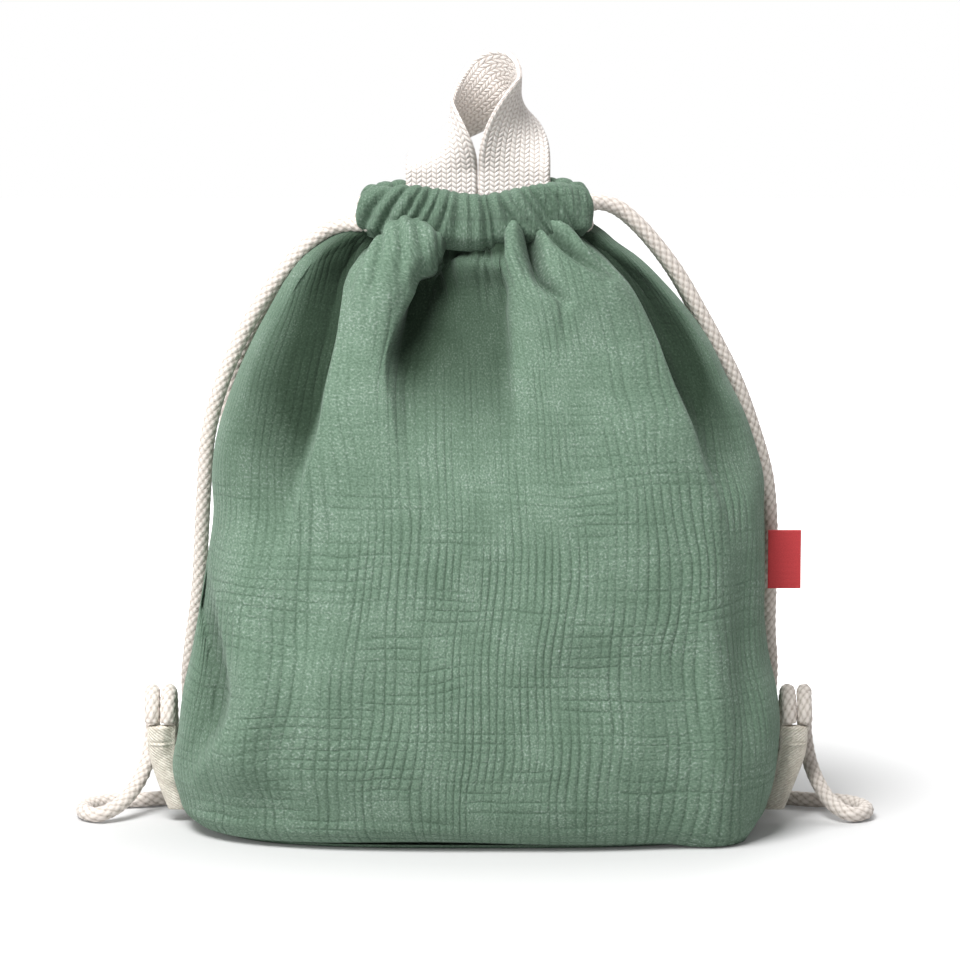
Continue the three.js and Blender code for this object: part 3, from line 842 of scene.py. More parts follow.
@dataclass(frozen=True)
class FrontFolds(Folds):
    """Large folds of the front: two full lobes under the casing, with hollows beside and between them.

    Each line gives the place along X by height, and each depth gives how far the cloth lies back by height.
    """

    left_edge: Pairs = ((248, -27), (244, -30), (240, -34), (234, -40), (228, -44), (214, -48), (198, -51.5),
                        (183, -55), (167, -60), (148, -67), (128, -73), (100, -80))
    left_depth: Pairs = ((246, 2), (241, 8), (230, 16), (214, 22), (200, 22), (183, 18), (167, 12), (148, 6),
                         (128, 2), (105, 0))
    hollow_edge: Pairs = ((246, -12), (233, -18), (225, -26), (215, -30), (203, -32), (191, -34), (176, -33),
                          (150, -33))
    hollow_depth: Pairs = ((245, 0), (240, 4), (235, 9), (226, 12.5), (215, 12), (203, 10), (190, 7),
                           (178, 3.5), (160, 0))
    centre_edge: Pairs = ((251, 7.5), (245, 9.5), (241, 11.5), (236, 13.3), (226, 15), (211, 14.5), (194, 14),
                          (176, 15), (163, 17), (140, 22))
    centre_depth: Pairs = ((245, 0), (240, 0.3), (234, 2), (226, 7), (211, 10.5), (194, 8.5), (176, 5),
                           (160, 2), (140, 0))
    right_edge: Pairs = ((248, 31), (244, 35), (240, 39), (234, 45), (227, 51.5), (222, 56), (216, 60.5),
                         (210, 64), (200, 69), (191, 72.5), (171, 80), (159, 85.5), (143, 92), (115, 98))
    right_depth: Pairs = ((246, 2), (240, 6), (230, 12), (216, 18), (204, 20), (191, 20), (171, 16),
                          (159, 11), (143, 5), (118, 0))
    corner_edge: Pairs = ((128, -106), (108, -105.5), (90, -102), (75, -98), (62, -95.5), (50, -97.5),
                          (38, -104), (28, -110))
    corner_depth: Pairs = ((135, 0), (112, 6), (92, 12), (75, 15), (60, 15), (48, 12), (36, 6), (22, 0))
    trench: float = 8.0
    wall: float = 3.4
    lip: float = 0.8
    corner_wall: float = 1.25
    centre_wall: float = 4.2
    hollow_floor: float = 12.0
    hollow_fade: float = 9.0
    dark_inset: float = 2.2
    pleat_dark: float = 0.075
    puffs: Place = (7.0, 5.5, 4.5)
    rises: Place = (6.5, 6.0, 5.5)
    left_creases: tuple[tuple[Pairs, Pairs, float], ...] = (
        (((125, -92), (100, -92), (75, -88), (60, -86), (40, -92)),
         ((140, 0), (105, 3), (75, 4.5), (55, 5), (38, 4), (20, 1), (8, 0)), 9.0),
        (((130, -62), (95, -70), (60, -72), (30, -66)), ((145, 0), (100, -2), (60, -2.4), (25, 0)), 10.0))
    right_creases: tuple[tuple[Pairs, Pairs, float], ...] = (
        (((249, 18.5), (237, 21.5), (230, 23.3), (224.5, 25.5), (220, 29.5), (216, 34)),
         ((249, 0), (243, -4.5), (236, -9), (228, -8.5), (222, -6), (217, -2), (213, 0)), 3.2),
        (((249, 18), (241, 26), (234, 34), (229, 41.5), (224, 49)),
         ((249, -2), (241, -6), (234, -6.5), (228, -4), (221, 0)), 2.5),
        (((250, 26), (243.5, 33.5), (235, 42), (230, 47), (225, 51.5)),
         ((250, -2), (242, -5), (235, -5.5), (229, -3.5), (222, 0)), 2.0),
        (((130, 90), (90, 92), (60, 94), (25, 97)), ((140, 0), (100, 2), (60, 2.6), (28, 2.2), (12, 0)), 7.0),
        (((130, 106), (90, 107), (60, 108)), ((135, 0), (95, -3), (60, -3), (35, 0)), 6.0),
        (((30, 96), (10, 98), (0, 99)), ((40, 0), (22, 1.5), (10, 5), (0, 7)), 14.0))

    def valley(self, at: Spots, seam: Array, edge: Pairs, wall: float = 1.0, inset: float = 0.0) -> Array:
        """Share of a valley at the side: a slope from the seam to the trench, then a wall up to the fold.

        Args:
            at: points of the half.
            seam: place of the seam at each point.
            edge: line of the fold's edge.
            wall: how wide the wall is, against the usual.
            inset: how far the wall lies inside the fold's edge.

        Returns:
            The share, from 0 to 1.
        """
        line = at.level(edge)
        way = np.sign(line - seam)
        reach = np.maximum(np.abs(line - seam) - self.trench, 1.0)
        slope = np.clip(way * (at.x - seam) / reach, 0.0, 1.0)
        return slope * ease(self.lip * wall, -self.wall * wall, way * (at.x - line) + inset)

    def middle(self, at: Spots) -> tuple[Array, Array]:
        """Recess between the lobes and its deep hollow: a wall on the left, then a slow rise.

        Args:
            at: points of the half.

        Returns:
            The shares of the recess and of the hollow, from 0 to 1.
        """
        soft = 4.0 + 7.0 * ease(225.0, 185.0, at.z)
        past = at.past(self.hollow_edge)
        inside = ease(-0.3, 0.7, past / soft)
        inside *= ease(self.centre_wall, -self.centre_wall, at.past(self.centre_edge))
        return inside, inside * np.exp(-np.clip(past - self.hollow_floor, 0.0, None) / self.hollow_fade)

    def rounding(self, at: Spots) -> Array:
        """Rounding of the two lobes: the share of the way from ridge to edge, squared or to the fourth.

        Args:
            at: points of the half.

        Returns:
            How far the cloth lies back.
        """
        left, hollow = at.level(self.left_edge), at.level(self.hollow_edge) + 2.0
        centre, right = at.level(self.centre_edge), at.level(self.right_edge)
        on_left = np.clip((2.0 * at.x - left - hollow) / (hollow - left), -1.0, 1.0) ** 2
        on_right = np.clip((2.0 * at.x - centre - right) / (right - centre), -1.0, 1.0) ** 4
        split = ease(-12.0, 0.0, at.x)
        return ease(140.0, 205.0, at.z) * (5.0 * on_left * (1.0 - split) + 4.0 * on_right * split)

    def depth(self, at: Spots) -> Array:
        """Distance that the cloth lies back from the smooth body: each share times its depth at that height.

        Args:
            at: points of the half.

        Returns:
            The distance, never less than the rounding of the lobes.
        """
        inside, hollow = self.middle(at)
        depth = at.level(self.left_depth) * self.valley(at, at.left, self.left_edge)
        depth += at.level(self.right_depth) * self.valley(at, at.right, self.right_edge)
        depth += at.level(self.corner_depth) * self.valley(at, at.left, self.corner_edge, self.corner_wall)
        depth += at.level(self.centre_depth) * inside + at.level(self.hollow_depth) * hollow
        return np.maximum(depth, self.rounding(at))

    def dark(self, at: Spots) -> Array:
        """How little light reaches the cloth: most in the trenches, the hollow, the pleats and at the casing.

        Args:
            at: points of the half.

        Returns:
            The lack of light, from 0 to 1.
        """
        inside, hollow = self.middle(at)
        left = self.valley(at, at.left, self.left_edge, inset=self.dark_inset)
        right = self.valley(at, at.right, self.right_edge, inset=self.dark_inset)
        corner = self.valley(at, at.left, self.corner_edge, self.corner_wall)
        dark = 1.4 * ease(118.0, 190.0, at.z) * left**0.65
        dark += 1.45 * ease(130.0, 195.0, at.z) * right**0.5
        dark += 0.5 * at.level(self.corner_depth) / 15.0 * corner**0.7
        dark += 0.5 * ease(170.0, 205.0, at.z) * hollow
        dark += 0.74 * ease(150.0, 200.0, at.z) * (1.0 - 0.6 * bell(at.z - 232.0, 6.0, 3.0)) * inside
        for line, height, width in self.right_creases[:3]:
            dark -= self.pleat_dark * np.minimum(at.level(height), 0.0) * bell(at.past(line), width, width)
        under = ease(228.0, 240.0, at.z) * (1.0 - np.clip(sum(self.lobes(at)), 0.0, 1.0))
        return np.clip(dark + 0.5 * under, 0.0, 1.0)

    def roll(self, at: Spots) -> Array:
        """Sideways roll of the lobes' edges over the hollows: a bell about each edge, as far as it is deep.

        Args:
            at: points of the half.

        Returns:
            The way along X.
        """
        roll = -at.level(self.left_depth) / 21.5 * 3.5 * bell(at.past(self.left_edge), 2.4, 10.0)
        roll += at.level(self.right_depth) / 19.5 * 3.5 * bell(at.past(self.right_edge), 10.0, 2.4)
        roll -= at.level(self.centre_depth) / 8.5 * 0.8 * bell(at.past(self.centre_edge), 2.0, 6.0)
        turned = at.level(self.hollow_depth) / 14.0 * ease(195.0, 225.0, at.z)
        return roll + 3.0 * turned * bell(at.past(self.hollow_edge), 7.0, 3.0)

    def creases(self, at: Spots) -> Array:
        """Smaller creases and bulges, each a bell across a line that is given by height."""
        lines = self.left_creases + self.right_creases
        return sum(at.level(height) * bell(at.past(line), width, width) for line, height, width in lines)

    def lobes(self, at: Spots) -> tuple[Array, Array, Array]:
        """Places of the lobes, each between two of the lines.

        Args:
            at: points of the half.

        Returns:
            The left lobe, the narrow ridge beside the middle and the right lobe, from 0 to 1.
        """
        notch = at.past(self.right_creases[0][0])
        left = ease(-2.0, 6.0, at.past(self.left_edge)) * ease(3.0, -5.0, at.past(self.hollow_edge))
        ridge = ease(-3.0, 1.5, at.past(self.centre_edge)) * ease(1.0, -2.5, notch)
        return left, ridge, ease(-1.0, 5.0, notch) * ease(2.0, -7.0, at.past(self.right_edge))

    def puff(self, at: Spots) -> Array:
        """Fullness of the lobes and of the recess under the casing."""
        full = sum(puff * lobe for puff, lobe in zip(self.puffs, self.lobes(at)))
        return full * bell(at.z - 237.0, 22.0, 5.0) + 4.0 * self.middle(at)[0] * bell(at.z - 230.0, 6.0, 3.0)

    def calm(self, at: Spots) -> Array:
        """Where the small gathers give way to the slanting pleats of the right lobe, from 0 to 1."""
        return 0.85 * ease(17.0, 24.0, at.x) * ease(60.0, 50.0, at.x)

    def rise(self, at: Spots) -> Array:
        """How far the lobes stand up in front of the casing, the left one most near its right side."""
        left, ridge, right = (rise * lobe for rise, lobe in zip(self.rises, self.lobes(at)))
        return (left * bell(at.x + 25.5, 9.5, 9.0) + ridge + right) * bell(at.z - 243.0, 9.0, 9.0)


@dataclass(frozen=True)
class BackFolds(Folds):
    """Folds of the back: pleats that fall from the casing, placed as shares of the half width."""

    pleats: tuple[float, ...] = (-0.8, -0.5, -0.17, 0.15, 0.48, 0.79)
    fall: Pairs = ((241, 0), (237, 2), (228, 6.5), (209, 8), (181, 7), (147, 3), (100, 0))
    deepest: float = 8.0

    def depth(self, at: Spots) -> Array:
        """Distance that the cloth lies back: a rounded valley on each pleat line, wider below.

        Args:
            at: points of the half.

        Returns:
            The distance.
        """
        share = (2.0 * at.x - at.left - at.right) / (at.right - at.left)
        width = 0.09 + 0.05 * ease(235.0, 150.0, at.z)
        valleys = sum(np.exp(-(((share - place) / width) ** 2)) for place in self.pleats)
        return at.level(self.fall) * valleys

    def dark(self, at: Spots) -> Array:
        """How little light reaches the cloth, from 0 to 1: by the depth, and under the casing."""
        share = np.clip(self.depth(at) / self.deepest, 0.0, 1.0)
        return 0.45 * share**1.5 + 0.4 * ease(234.0, 241.0, at.z)

    def creases(self, at: Spots) -> Array:
        """Slight hollow over the middle of the back."""
        return -2.2 * bell(at.x + 12.0, 45.0, 45.0) * bell(at.z - 95.0, 40.0, 40.0)

    def puff(self, at: Spots) -> Array:
        """Fullness of the cloth right under the casing."""
        return 2.5 * ease(48.0, 34.0, np.abs(at.x)) * bell(at.z - 230.0, 12.0, 6.0)


@dataclass
class Body:
    """Gauze body: a front and a back panel between the side seams, on a flat base."""

    rows: int = 240
    columns: int = 400
    foot: float = 0.5
    top: float = 245.0
    left_side: Pairs = ((0.5, -102), (2, -109.5), (5, -115.5), (14, -121), (22, -123), (40, -120.5),
                        (58, -118), (71, -115), (87, -112), (108, -108.5), (130, -105.5), (145, -106),
                        (160, -104), (176, -99), (195, -91), (212, -82), (224, -75), (232, -69), (238, -61.5),
                        (241.5, -56), (245, -47))
    right_side: Pairs = ((0.5, 103), (2, 109.5), (5, 114.5), (14, 119.5), (22, 121.5), (35, 123), (44, 123.5),
                         (58, 122), (71, 119), (87, 117), (104, 117), (130, 116.5), (145, 116), (156, 113),
                         (170, 108), (182, 102), (199, 93.5), (209, 86.5), (220, 77), (232, 64.5), (238, 56),
                         (241.5, 52), (245, 47))
    depth: Pairs = ((0.5, 47), (2, 52), (5, 55.5), (14, 60.5), (30, 64), (60, 64), (90, 62.5), (140, 56),
                    (195, 45), (218, 37), (231, 30.5), (238, 26), (242, 23), (245, 20.5))
    squareness: Pairs = ((0, 3.3), (60, 3.0), (140, 2.65), (195, 2.45), (245, 2.3))
    crowding: float = 0.31
    cloth_width: float = 320.0
    cloth_height: float = 272.0
    girth: float = 245.0
    gather: float = 2.7
    wave: float = 2.3
    wave_seed: int = 21
    seam_ease: float = 9.0
    base_width: float = 109.0
    base_depth: float = 50.2
    base_columns: int = 240
    base_rings: tuple[float, ...] = (0.0, 0.12, 0.3, 0.5, 0.7, 0.85, 0.93, 0.965, 0.985, 1.0)
    crinkle: Crinkle = Crinkle()

    def heights(self) -> Array:
        """Row heights at even lengths along the side profile.

        Returns:
            One height for each row.
        """
        dense = np.linspace(self.foot, self.top, 4000)
        half = (curve(self.right_side, dense) - curve(self.left_side, dense)) / 2
        length = lengths(np.stack([half, dense], axis=1))
        return np.interp(np.linspace(0.0, length[-1], self.rows), length, dense)

    def smooth_half(self, facing: Facing) -> tuple[Array, Array, Array]:
        """Smooth half of the body: a rounded rectangle at each height, set between the side lines.

        Args:
            facing: front or back half.

        Returns:
            Grid of points, and the places of the left and right seams for each row.
        """
        z = self.heights()[:, None]
        left, right = curve(self.left_side, z), curve(self.right_side, z)
        share = np.linspace(0.0, 1.0, self.columns)[None, :]
        power = curve(self.squareness, z) - 0.8 * ease(0.6, 0.3, share) * bell(z - 18.0, 17.0, 16.0)
        across, deep = oval(np.pi * share + self.crowding * np.sin(2 * np.pi * share) / 2, power)
        x = (left + right) / 2 - (right - left) / 2 * across
        return grid(x, facing.value * curve(self.depth, z) * np.abs(deep), z), left, right

    def swell(self, folds: Folds, ridge: Array, at: Spots, facing: Facing) -> Array:
        """Height over the large folds: creases and fullness, then the gathers and slow waves of the cloth.

        Args:
            folds: folds of this half.
            ridge: height of the gathers, from 0 to 1.
            at: points of the half.
            facing: front or back half.

        Returns:
            The height in millimetres, less near the casing.
        """
        swell = folds.creases(at) + folds.puff(at)
        near = ease(205.0, 234.0, at.z) * (1.0 - 0.5 * ease(239.0, 245.0, at.z))
        swell += self.gather * (ridge - 0.7) * near
        waves = Noise(self.wave_seed + facing.value)(at.x / 36.0, at.z / 32.0)
        swell += self.wave * waves * ease(0.0, 25.0, at.z) * ease(243.0, 215.0, at.z)
        return swell * (0.3 + 0.7 * ease(246.0, 238.0, at.z))

    def panel(self, facing: Facing) -> Piece:
        """One half of the body, with large folds first and gathers and crinkle on top of them.

        Args:
            facing: front or back half.

        Returns:
            The new object.
        """
        points, left, right = self.smooth_half(facing)
        x, z = points[..., 0].copy(), points[..., 2].copy()
        at = Spots(x, z, left, right)
        front = facing is Facing.FRONT
        folds, gathers = (FrontFolds(), FRONT_GATHERS) if front else (BackFolds(), BACK_GATHERS)
        seam = np.minimum(ease(0.0, self.seam_ease, x - left), ease(0.0, self.seam_ease, right - x))
        deep = np.abs(points[..., 1])
        back = folds.depth(at) * np.clip(deep / 18.0, 0.0, 1.0)
        points[..., 1] = facing.value * np.maximum(deep - back, np.minimum(deep, 3.0))
        points[..., 0] += folds.roll(at) * seam
        out = grid_normals(points)
        out *= np.sign(np.sum(out * points * [1, 1, 0], axis=2, keepdims=True).mean())
        fan = 1.0 + 0.25 * ease(241.0, 205.0, z)
        ridge = 1.0 - (1.0 - gathers.ridge(x / fan, z)) * (1.0 - folds.calm(at))
        points = points + out * (self.swell(folds, ridge, at, facing) * seam)[..., None]
        points[..., 2] += folds.rise(at) * seam
        out = grid_normals(points) * np.sign(np.sum(grid_normals(points) * out))
        share = np.linspace(-0.5, 0.5, self.columns)[None, :]
        across = self.cloth_width * share * (0.5 + 0.5 * (right - left) / self.girth)
        up = np.linspace(0.0, self.cloth_height, self.rows)[:, None] * np.ones_like(share)
        cross = 0.34 + 0.66 * ease(190.0, 110.0, z)
        lift, marks = self.crinkle.lift(across + 400.0 * facing.value, up, cross)
        flat = ease(0.0, 5.0, z) * (0.5 + 0.5 * seam)
        points = points + out * (lift * flat)[..., None]
        points[..., 2] += 1.8 * bell(x + 20.0, 45.0, 45.0) * ease(10.0, self.foot, z)
        points[..., 2] = np.maximum(points[..., 2], 0.3)
        # Painted shade in the valleys of the gathers under the casing.
        marks["crease"] = np.clip(1.0 - ridge, 0.0, 1.0) * ease(214.0, 240.0, z) * seam
        # Painted shade of the large folds and under the casing, from their lack of light.
        marks["hollow"] = folds.dark(at) * (0.35 + 0.65 * seam)
        name = f"{facing.name.lower()}_cloth"
        return lay_mesh(name, points, grid_faces(self.rows, self.columns), grid(across, up), marks)

    def base(self) -> Piece:
        """Base cloth: rings of the base outline drawn in to the middle, with a lip that meets the panels.

        Returns:
            The new object.
        """
        angle = once_round(self.base_columns)
        share = np.array(self.base_rings)[:, None]
        power = 3.3 - 0.33 * ease(0.6, 0.3, np.arccos(-np.cos(angle)) / np.pi)
        across, deep = oval(angle, power)
        lip = 0.35 + 1.6 * ease(0.9, 1.0, share)
        upper = grid(self.base_width * share * across, self.base_depth * share * deep, lip)
        under = upper * [0.95, 0.95, 1]
        under[..., 2] = 0.1
        both = np.concatenate([upper, under[::-1]])
        return lay_tube("base_cloth", both, both[..., :2], {"crease": np.zeros(both.shape[:2])})

    def build(self, finishes: Finishes) -> dict[str, Piece]:
        """Builds and dresses the three cloth pieces.

        Args:
            finishes: the bag's materials.

        Returns:
            The pieces by their place.
        """
        front = dress(self.panel(Facing.FRONT), finishes.gauze, "gauze", "front_panel")
        back = dress(self.panel(Facing.BACK), finishes.gauze, "gauze", "back_panel")
        base = dress(self.base(), finishes.gauze, "gauze", "base_panel")
        for piece in (front, back, base):
            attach(piece, "bag")
        return {"front": front, "back": back, "base": base}


@dataclass
class Casing:
    """Gathered casing: a soft sleeve round half of the mouth, drawn up on the cords, with rounded ends."""

    half_width: float = 49.0
    half_depth: float = 20.0
    squareness: float = 2.3
    middle: float = 249.5
    half_height: float = 12.0
    thickness: float = 6.8
    inner_thickness: float = 6.5
    end_angle: float = 0.46
    knob: float = 5.0
    stations: int = 300
    ring: int = 96
    gather: float = 3.2
    fine: float = 0.35
    fine_seed: int = 31
    roundness: float = 2.7
    spread: float = 0.05
    cloth_stretch: float = 1.4
    cloth_round: float = 60.0
    top_line: Pairs = ((-50, -5.0), (-44, -2.5), (-34, -0.5), (-20, -0.5), (-8, -2.5), (2, -3.6), (10, -2.6),
                       (22, 0.0), (30, 0.8), (38, 0.2), (46, -3.0), (50, -6))

    def mouth(self, facing: Facing) -> tuple[Array, Array]:
        """Half of the mouth's line: a rounded rectangle seen from above.

        Args:
            facing: front or back half.

        Returns:
            The points of the line, and the way out of the bag at each of them.
        """
        angle = np.linspace(self.end_angle, np.pi - self.end_angle, self.stations)
        across, deep = oval(angle, self.squareness)
        line = np.stack([-self.half_width * across, facing.value * self.half_depth * deep], axis=1)
        along = np.gradient(line, axis=0)
        along /= np.linalg.norm(along, axis=1, keepdims=True)
        out = facing.value * np.stack([-along[:, 1], along[:, 0]], axis=1)
        return line, out * np.sign(np.sum(out * line))

    def half(self, facing: Facing, gathers: Gathers) -> Piece:
        """One half: an upright rounded section carried round the mouth, pinched along the gathers.

        Args:
            facing: front or back half.
            gathers: gathers of this half.

        Returns:
            The new object.
        """
        line, out = self.mouth(facing)
        length = lengths(line)[:, None]
        close = round_off(to_ends(length), self.knob)
        turn = once_round(self.ring)
        side, rise = (signed_power(part, 2.0 / self.roundness) for part in (np.cos(turn), np.sin(turn)))
        x = line[:, :1] * np.ones_like(turn)
        lean = x + (self.spread * x + gathers.slant(x)) * rise
        ridge = gathers.ridge(lean, 6.0 * rise + 20.0)
        fine = Noise(self.fine_seed + facing.value)(length * 0.9 + 0.4 * rise, 1.2 * rise + 7.0)
        pinch = (self.gather * (1.0 - ridge) + self.fine * fine) * (0.75 + 0.25 * side) * close
        taper = 1.0 - (0.68 - 0.3 * bell(x, 16.0, 16.0)) * ease(-0.55, -1.0, rise)
        thick = np.where(side > 0, self.thickness, self.inner_thickness) * close * taper - pinch
        thick = np.maximum(thick, 0.4 * close)
        tall = self.half_height * (0.55 + 0.45 * close) * close**0.35 - 0.4 * pinch * (rise > 0)
        tall = tall * (1.0 - 0.25 * ease(30.0, 45.0, np.abs(x)) * (rise < 0))
        place = line[:, None, :] + out[:, None, :] * (thick * side)[..., None]
        top = curve(self.top_line, x) * ease(-0.2, 1.0, rise)
        z = self.middle + tall * rise + top - 2.5 * bell(x, 18.0, 18.0) * ease(0.2, -1.0, rise)
        around = np.linspace(0.0, self.cloth_round, self.ring)[None, :] + 0.0 * length
        across = self.cloth_stretch * length + 0.0 * around
        _, marks = Crinkle().lift(across, around, 0.5 + 0.0 * around)
        # Painted shade in the valleys of the gathers.
        marks["crease"] = 0.8 * np.clip(1.0 - ridge, 0.0, 1.0) * close
        # Painted shade on the casing, darker on its lower side.
        marks["hollow"] = 0.23 + 0.22 * ease(-0.3, -1.0, rise) * np.ones_like(x)
        points = np.concatenate([place, z[..., None]], axis=-1)
        return lay_tube(f"{facing.name.lower()}_frill", points, grid(across, around), marks)

    def build(self, finishes: Finishes) -> dict[str, Piece]:
        """Builds and dresses both halves.

        Args:
            finishes: the bag's materials.

        Returns:
            The pieces by their place.
        """
        front = dress(self.half(Facing.FRONT, FRONT_GATHERS), finishes.gauze, "gauze", "front_casing")
        back = dress(self.half(Facing.BACK, BACK_GATHERS), finishes.gauze, "gauze", "back_casing")
        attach(front, "bag")
        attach(back, "bag")
        return {"front": front, "back": back}


@dataclass
class Cord:
    """Braided cord: a tube whose strands cross over and under on two helices."""

    diameter: float = 6.0
    strands: int = 3
    stitch: float = 4.2
    relief: float = 0.5
    sides: int = 30
    step: float = 0.55
    end: float = 1.2

    def tube(self, name: str, path: Array) -> Piece:
        """Tube along a path: each cell of the braid is a half wave across the strand that lies on top there.

        Args:
            name: name of the piece.
            path: points of the middle line.

        Returns:
            The new object.
        """
        side, rise = path_frames(path)
        length = lengths(path)[:, None]
        turn = once_round(self.sides)
        first, second = (self.strands * turn + way * np.pi * length / self.stitch for way in (1, -1))
        over = (np.floor(first / np.pi) + np.floor(second / np.pi)) % 2 == 0
        wave, cross = np.abs(np.sin(first)), np.abs(np.sin(second))
        height = np.where(over, cross**0.7 * wave**0.35, wave**0.7 * cross**0.35)
        radius = (self.diameter / 2 + self.relief * (height - 0.62)) * round_off(to_ends(length), self.end)
        ring = np.cos(turn)[..., None] * side[:, None, :] + np.sin(turn)[..., None] * rise[:, None, :]
        points = path[:, None, :] + radius[..., None] * ring
        # The groove mark is the depth of the braid's relief, which the cord's material paints as shade.
        return lay_tube(name, points, grid(self.diameter / 2 * turn, length), {"groove": 1.0 - height})


@dataclass
class Straps:
    """Drawcords: a ring inside the casing and two free strands on each side, down to the tabs."""

    cord: Cord
    left_front: Route = (
        (-43.7, -10.5, 245), (-50, -7, 245), (-57, -5, 243.5), (-64.5, -3.5, 239), (-74, -1.5, 229.5),
        (-85.5, 1, 214), (-95, 3, 197), (-103, 5, 178), (-108.3, 8, 158), (-110.3, 11, 138), (-112, 16, 116),
        (-113.6, 21, 95), (-116.5, 26, 75), (-119, 31, 58), (-119.6, 39, 42), (-119.5, 43.5, 28),
        (-121, 38.5, 16.5), (-123.4, 29.5, 15), (-125.2, 23.5, 23), (-125.6, 22, 35), (-125.6, 18.5, 47.5),
        (-125.5, 11, 52), (-125.5, 3.4, 49.5), (-125.5, 0.3, 45), (-125.5, 0, 40.5))
    left_rear: Route = (
        (-43.7, 10.5, 245), (-50, 7, 245), (-57, 5, 242.5), (-64.5, 6, 238), (-73.5, 8.5, 228.5),
        (-84.5, 11.5, 212.5), (-93.5, 14.5, 195.5), (-99.5, 19, 177), (-102, 26, 157), (-100.5, 35.5, 134),
        (-98.5, 46, 108), (-99.5, 55, 82), (-102.5, 60, 55), (-105, 59, 34), (-109, 54.5, 16),
        (-114, 46.5, 6.5), (-120, 37, 3.4), (-128, 29, 3.4), (-138, 25, 3.4), (-149, 23, 3.4),
        (-157.5, 17.5, 3.4), (-161, 9, 3.4), (-159.5, 1, 3.4), (-153.5, -3.5, 3.6), (-146, 0, 6.5),
        (-139.8, 8, 12.5), (-135.6, 16, 21), (-133.6, 21, 32), (-133, 18.5, 46.5), (-132.4, 11, 52),
        (-132, 3.4, 49.5), (-131.8, 0.3, 45), (-131.8, 0, 40.5))
    right_front: Route = (
        (43.7, -10.5, 253), (50, -7, 253.5), (57, -5, 251.5), (64.5, -3.5, 245.5), (73, -1.5, 236),
        (81.5, 0.5, 224.5), (90, 2.5, 210), (98, 4.5, 195.5), (106, 7, 179.5), (113, 10, 160.5),
        (118.6, 13, 141), (120.8, 16, 120), (121, 20, 98), (121.3, 26, 76), (122.7, 31, 58), (122.6, 39, 42),
        (121.8, 43.5, 28), (123, 38.5, 16.5), (125.6, 29.5, 15), (127.6, 23.5, 23), (128.2, 22, 35),
        (128.2, 18.5, 47.5), (128.2, 11, 52), (128.2, 3.4, 49.5), (128.2, 0.3, 45), (128.2, 0, 40.5))
    right_rear: Route = (
        (43.7, 10.5, 253), (50, 7, 253), (57, 5, 250.5), (64.5, 6, 244.5), (73, 8, 235), (81.5, 10.5, 223),
        (89.5, 14, 208.5), (97, 18.5, 193.5), (102.5, 25, 176), (104.5, 33, 156), (104.5, 41, 134),
        (103.5, 49.5, 108), (104.5, 56.5, 82), (106, 60, 55), (106.5, 59, 34), (110.5, 54.5, 16),
        (115.5, 46.5, 6.5), (121.5, 37, 3.4), (129, 29, 3.4), (138, 25, 3.4), (148, 23, 3.4),
        (156.5, 18, 3.4), (160.5, 10, 3.4), (159.5, 1.5, 3.4), (153.5, -3, 3.6), (147, 0.5, 6.5),
        (142, 8, 12.5), (138.3, 16, 21), (136.4, 21, 32), (135.8, 18.5, 46.5), (135, 11, 52),
        (134.5, 3.4, 49.5), (134.5, 0.3, 45), (134.5, 0, 40.5))
    left_height: float = 245.0
    right_height: float = 253.0
    casing_start: float = 0.53
    casing_end: float = 43.8
    crossing_bulge: float = 0.1
    ring_width: float = 49.0
    ring_depth: float = 20.0
    ring_squareness: float = 2.3
    ring_stations: int = 420
    tab_way: Place = (1.0, -0.8, -0.1)

    def strand(self, name: str, route: Route, side: Side, finishes: Finishes, node: str) -> Piece:
        """One free strand: a braided tube on its route.

        Args:
            name: name of the piece.
            route: points that the strand goes through.
            side: side of the bag.
            finishes: the bag's materials.
            node: node that the piece stands for.

        Returns:
            The new object.
        """
        path = even_path(np.array(route, float), self.cord.step)
        piece = dress(self.cord.tube(name, path), finishes.cord, "cord", node)
        way = np.array(self.tab_way) * [side.value, 1, 1]
        way /= way @ way
        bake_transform(piece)
        return piece

    def ring(self, name: str, side: Side, height: float, finishes: Finishes, node: str) -> Piece:
        """Stretch inside the casings: in at one side, nearly straight across the other side and back.

        Args:
            name: name of the piece.
            side: side where the cord leaves the casings.
            height: height of the cord.
            finishes: the bag's materials.
            node: node that the piece stands for.

        Returns:
            The new object.
        """
        angle = np.linspace(np.pi + self.casing_start, 3 * np.pi - self.casing_start, self.ring_stations)
        across, deep = oval(angle, self.ring_squareness)
        x = self.ring_width * across
        x -= np.maximum(0.0, x - self.casing_end) * (1.0 - self.crossing_bulge)
        path = grid(-side.value * x, self.ring_depth * deep, np.full_like(angle, height))
        piece = dress(self.cord.tube(name, path), finishes.cord, "cord", node)
        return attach(piece, "bag")

    def build(self, finishes: Finishes) -> None:
        """Builds the free strands and the rings.

        Args:
            finishes: the bag's materials.
        """
        routes = ((Side.LEFT, "front", self.left_front), (Side.LEFT, "rear", self.left_rear),
                  (Side.RIGHT, "front", self.right_front), (Side.RIGHT, "rear", self.right_rear))
        for side, end, route in routes:
            where = side.name.lower()
            self.strand(f"{where}_strand_{end}", route, side, finishes, f"{where}_strap_{end}")
        for side, height in ((Side.LEFT, self.left_height), (Side.RIGHT, self.right_height)):
            where = side.name.lower()
            self.ring(f"{where}_ring_cord", side, height, finishes, f"{where}_drawcord")


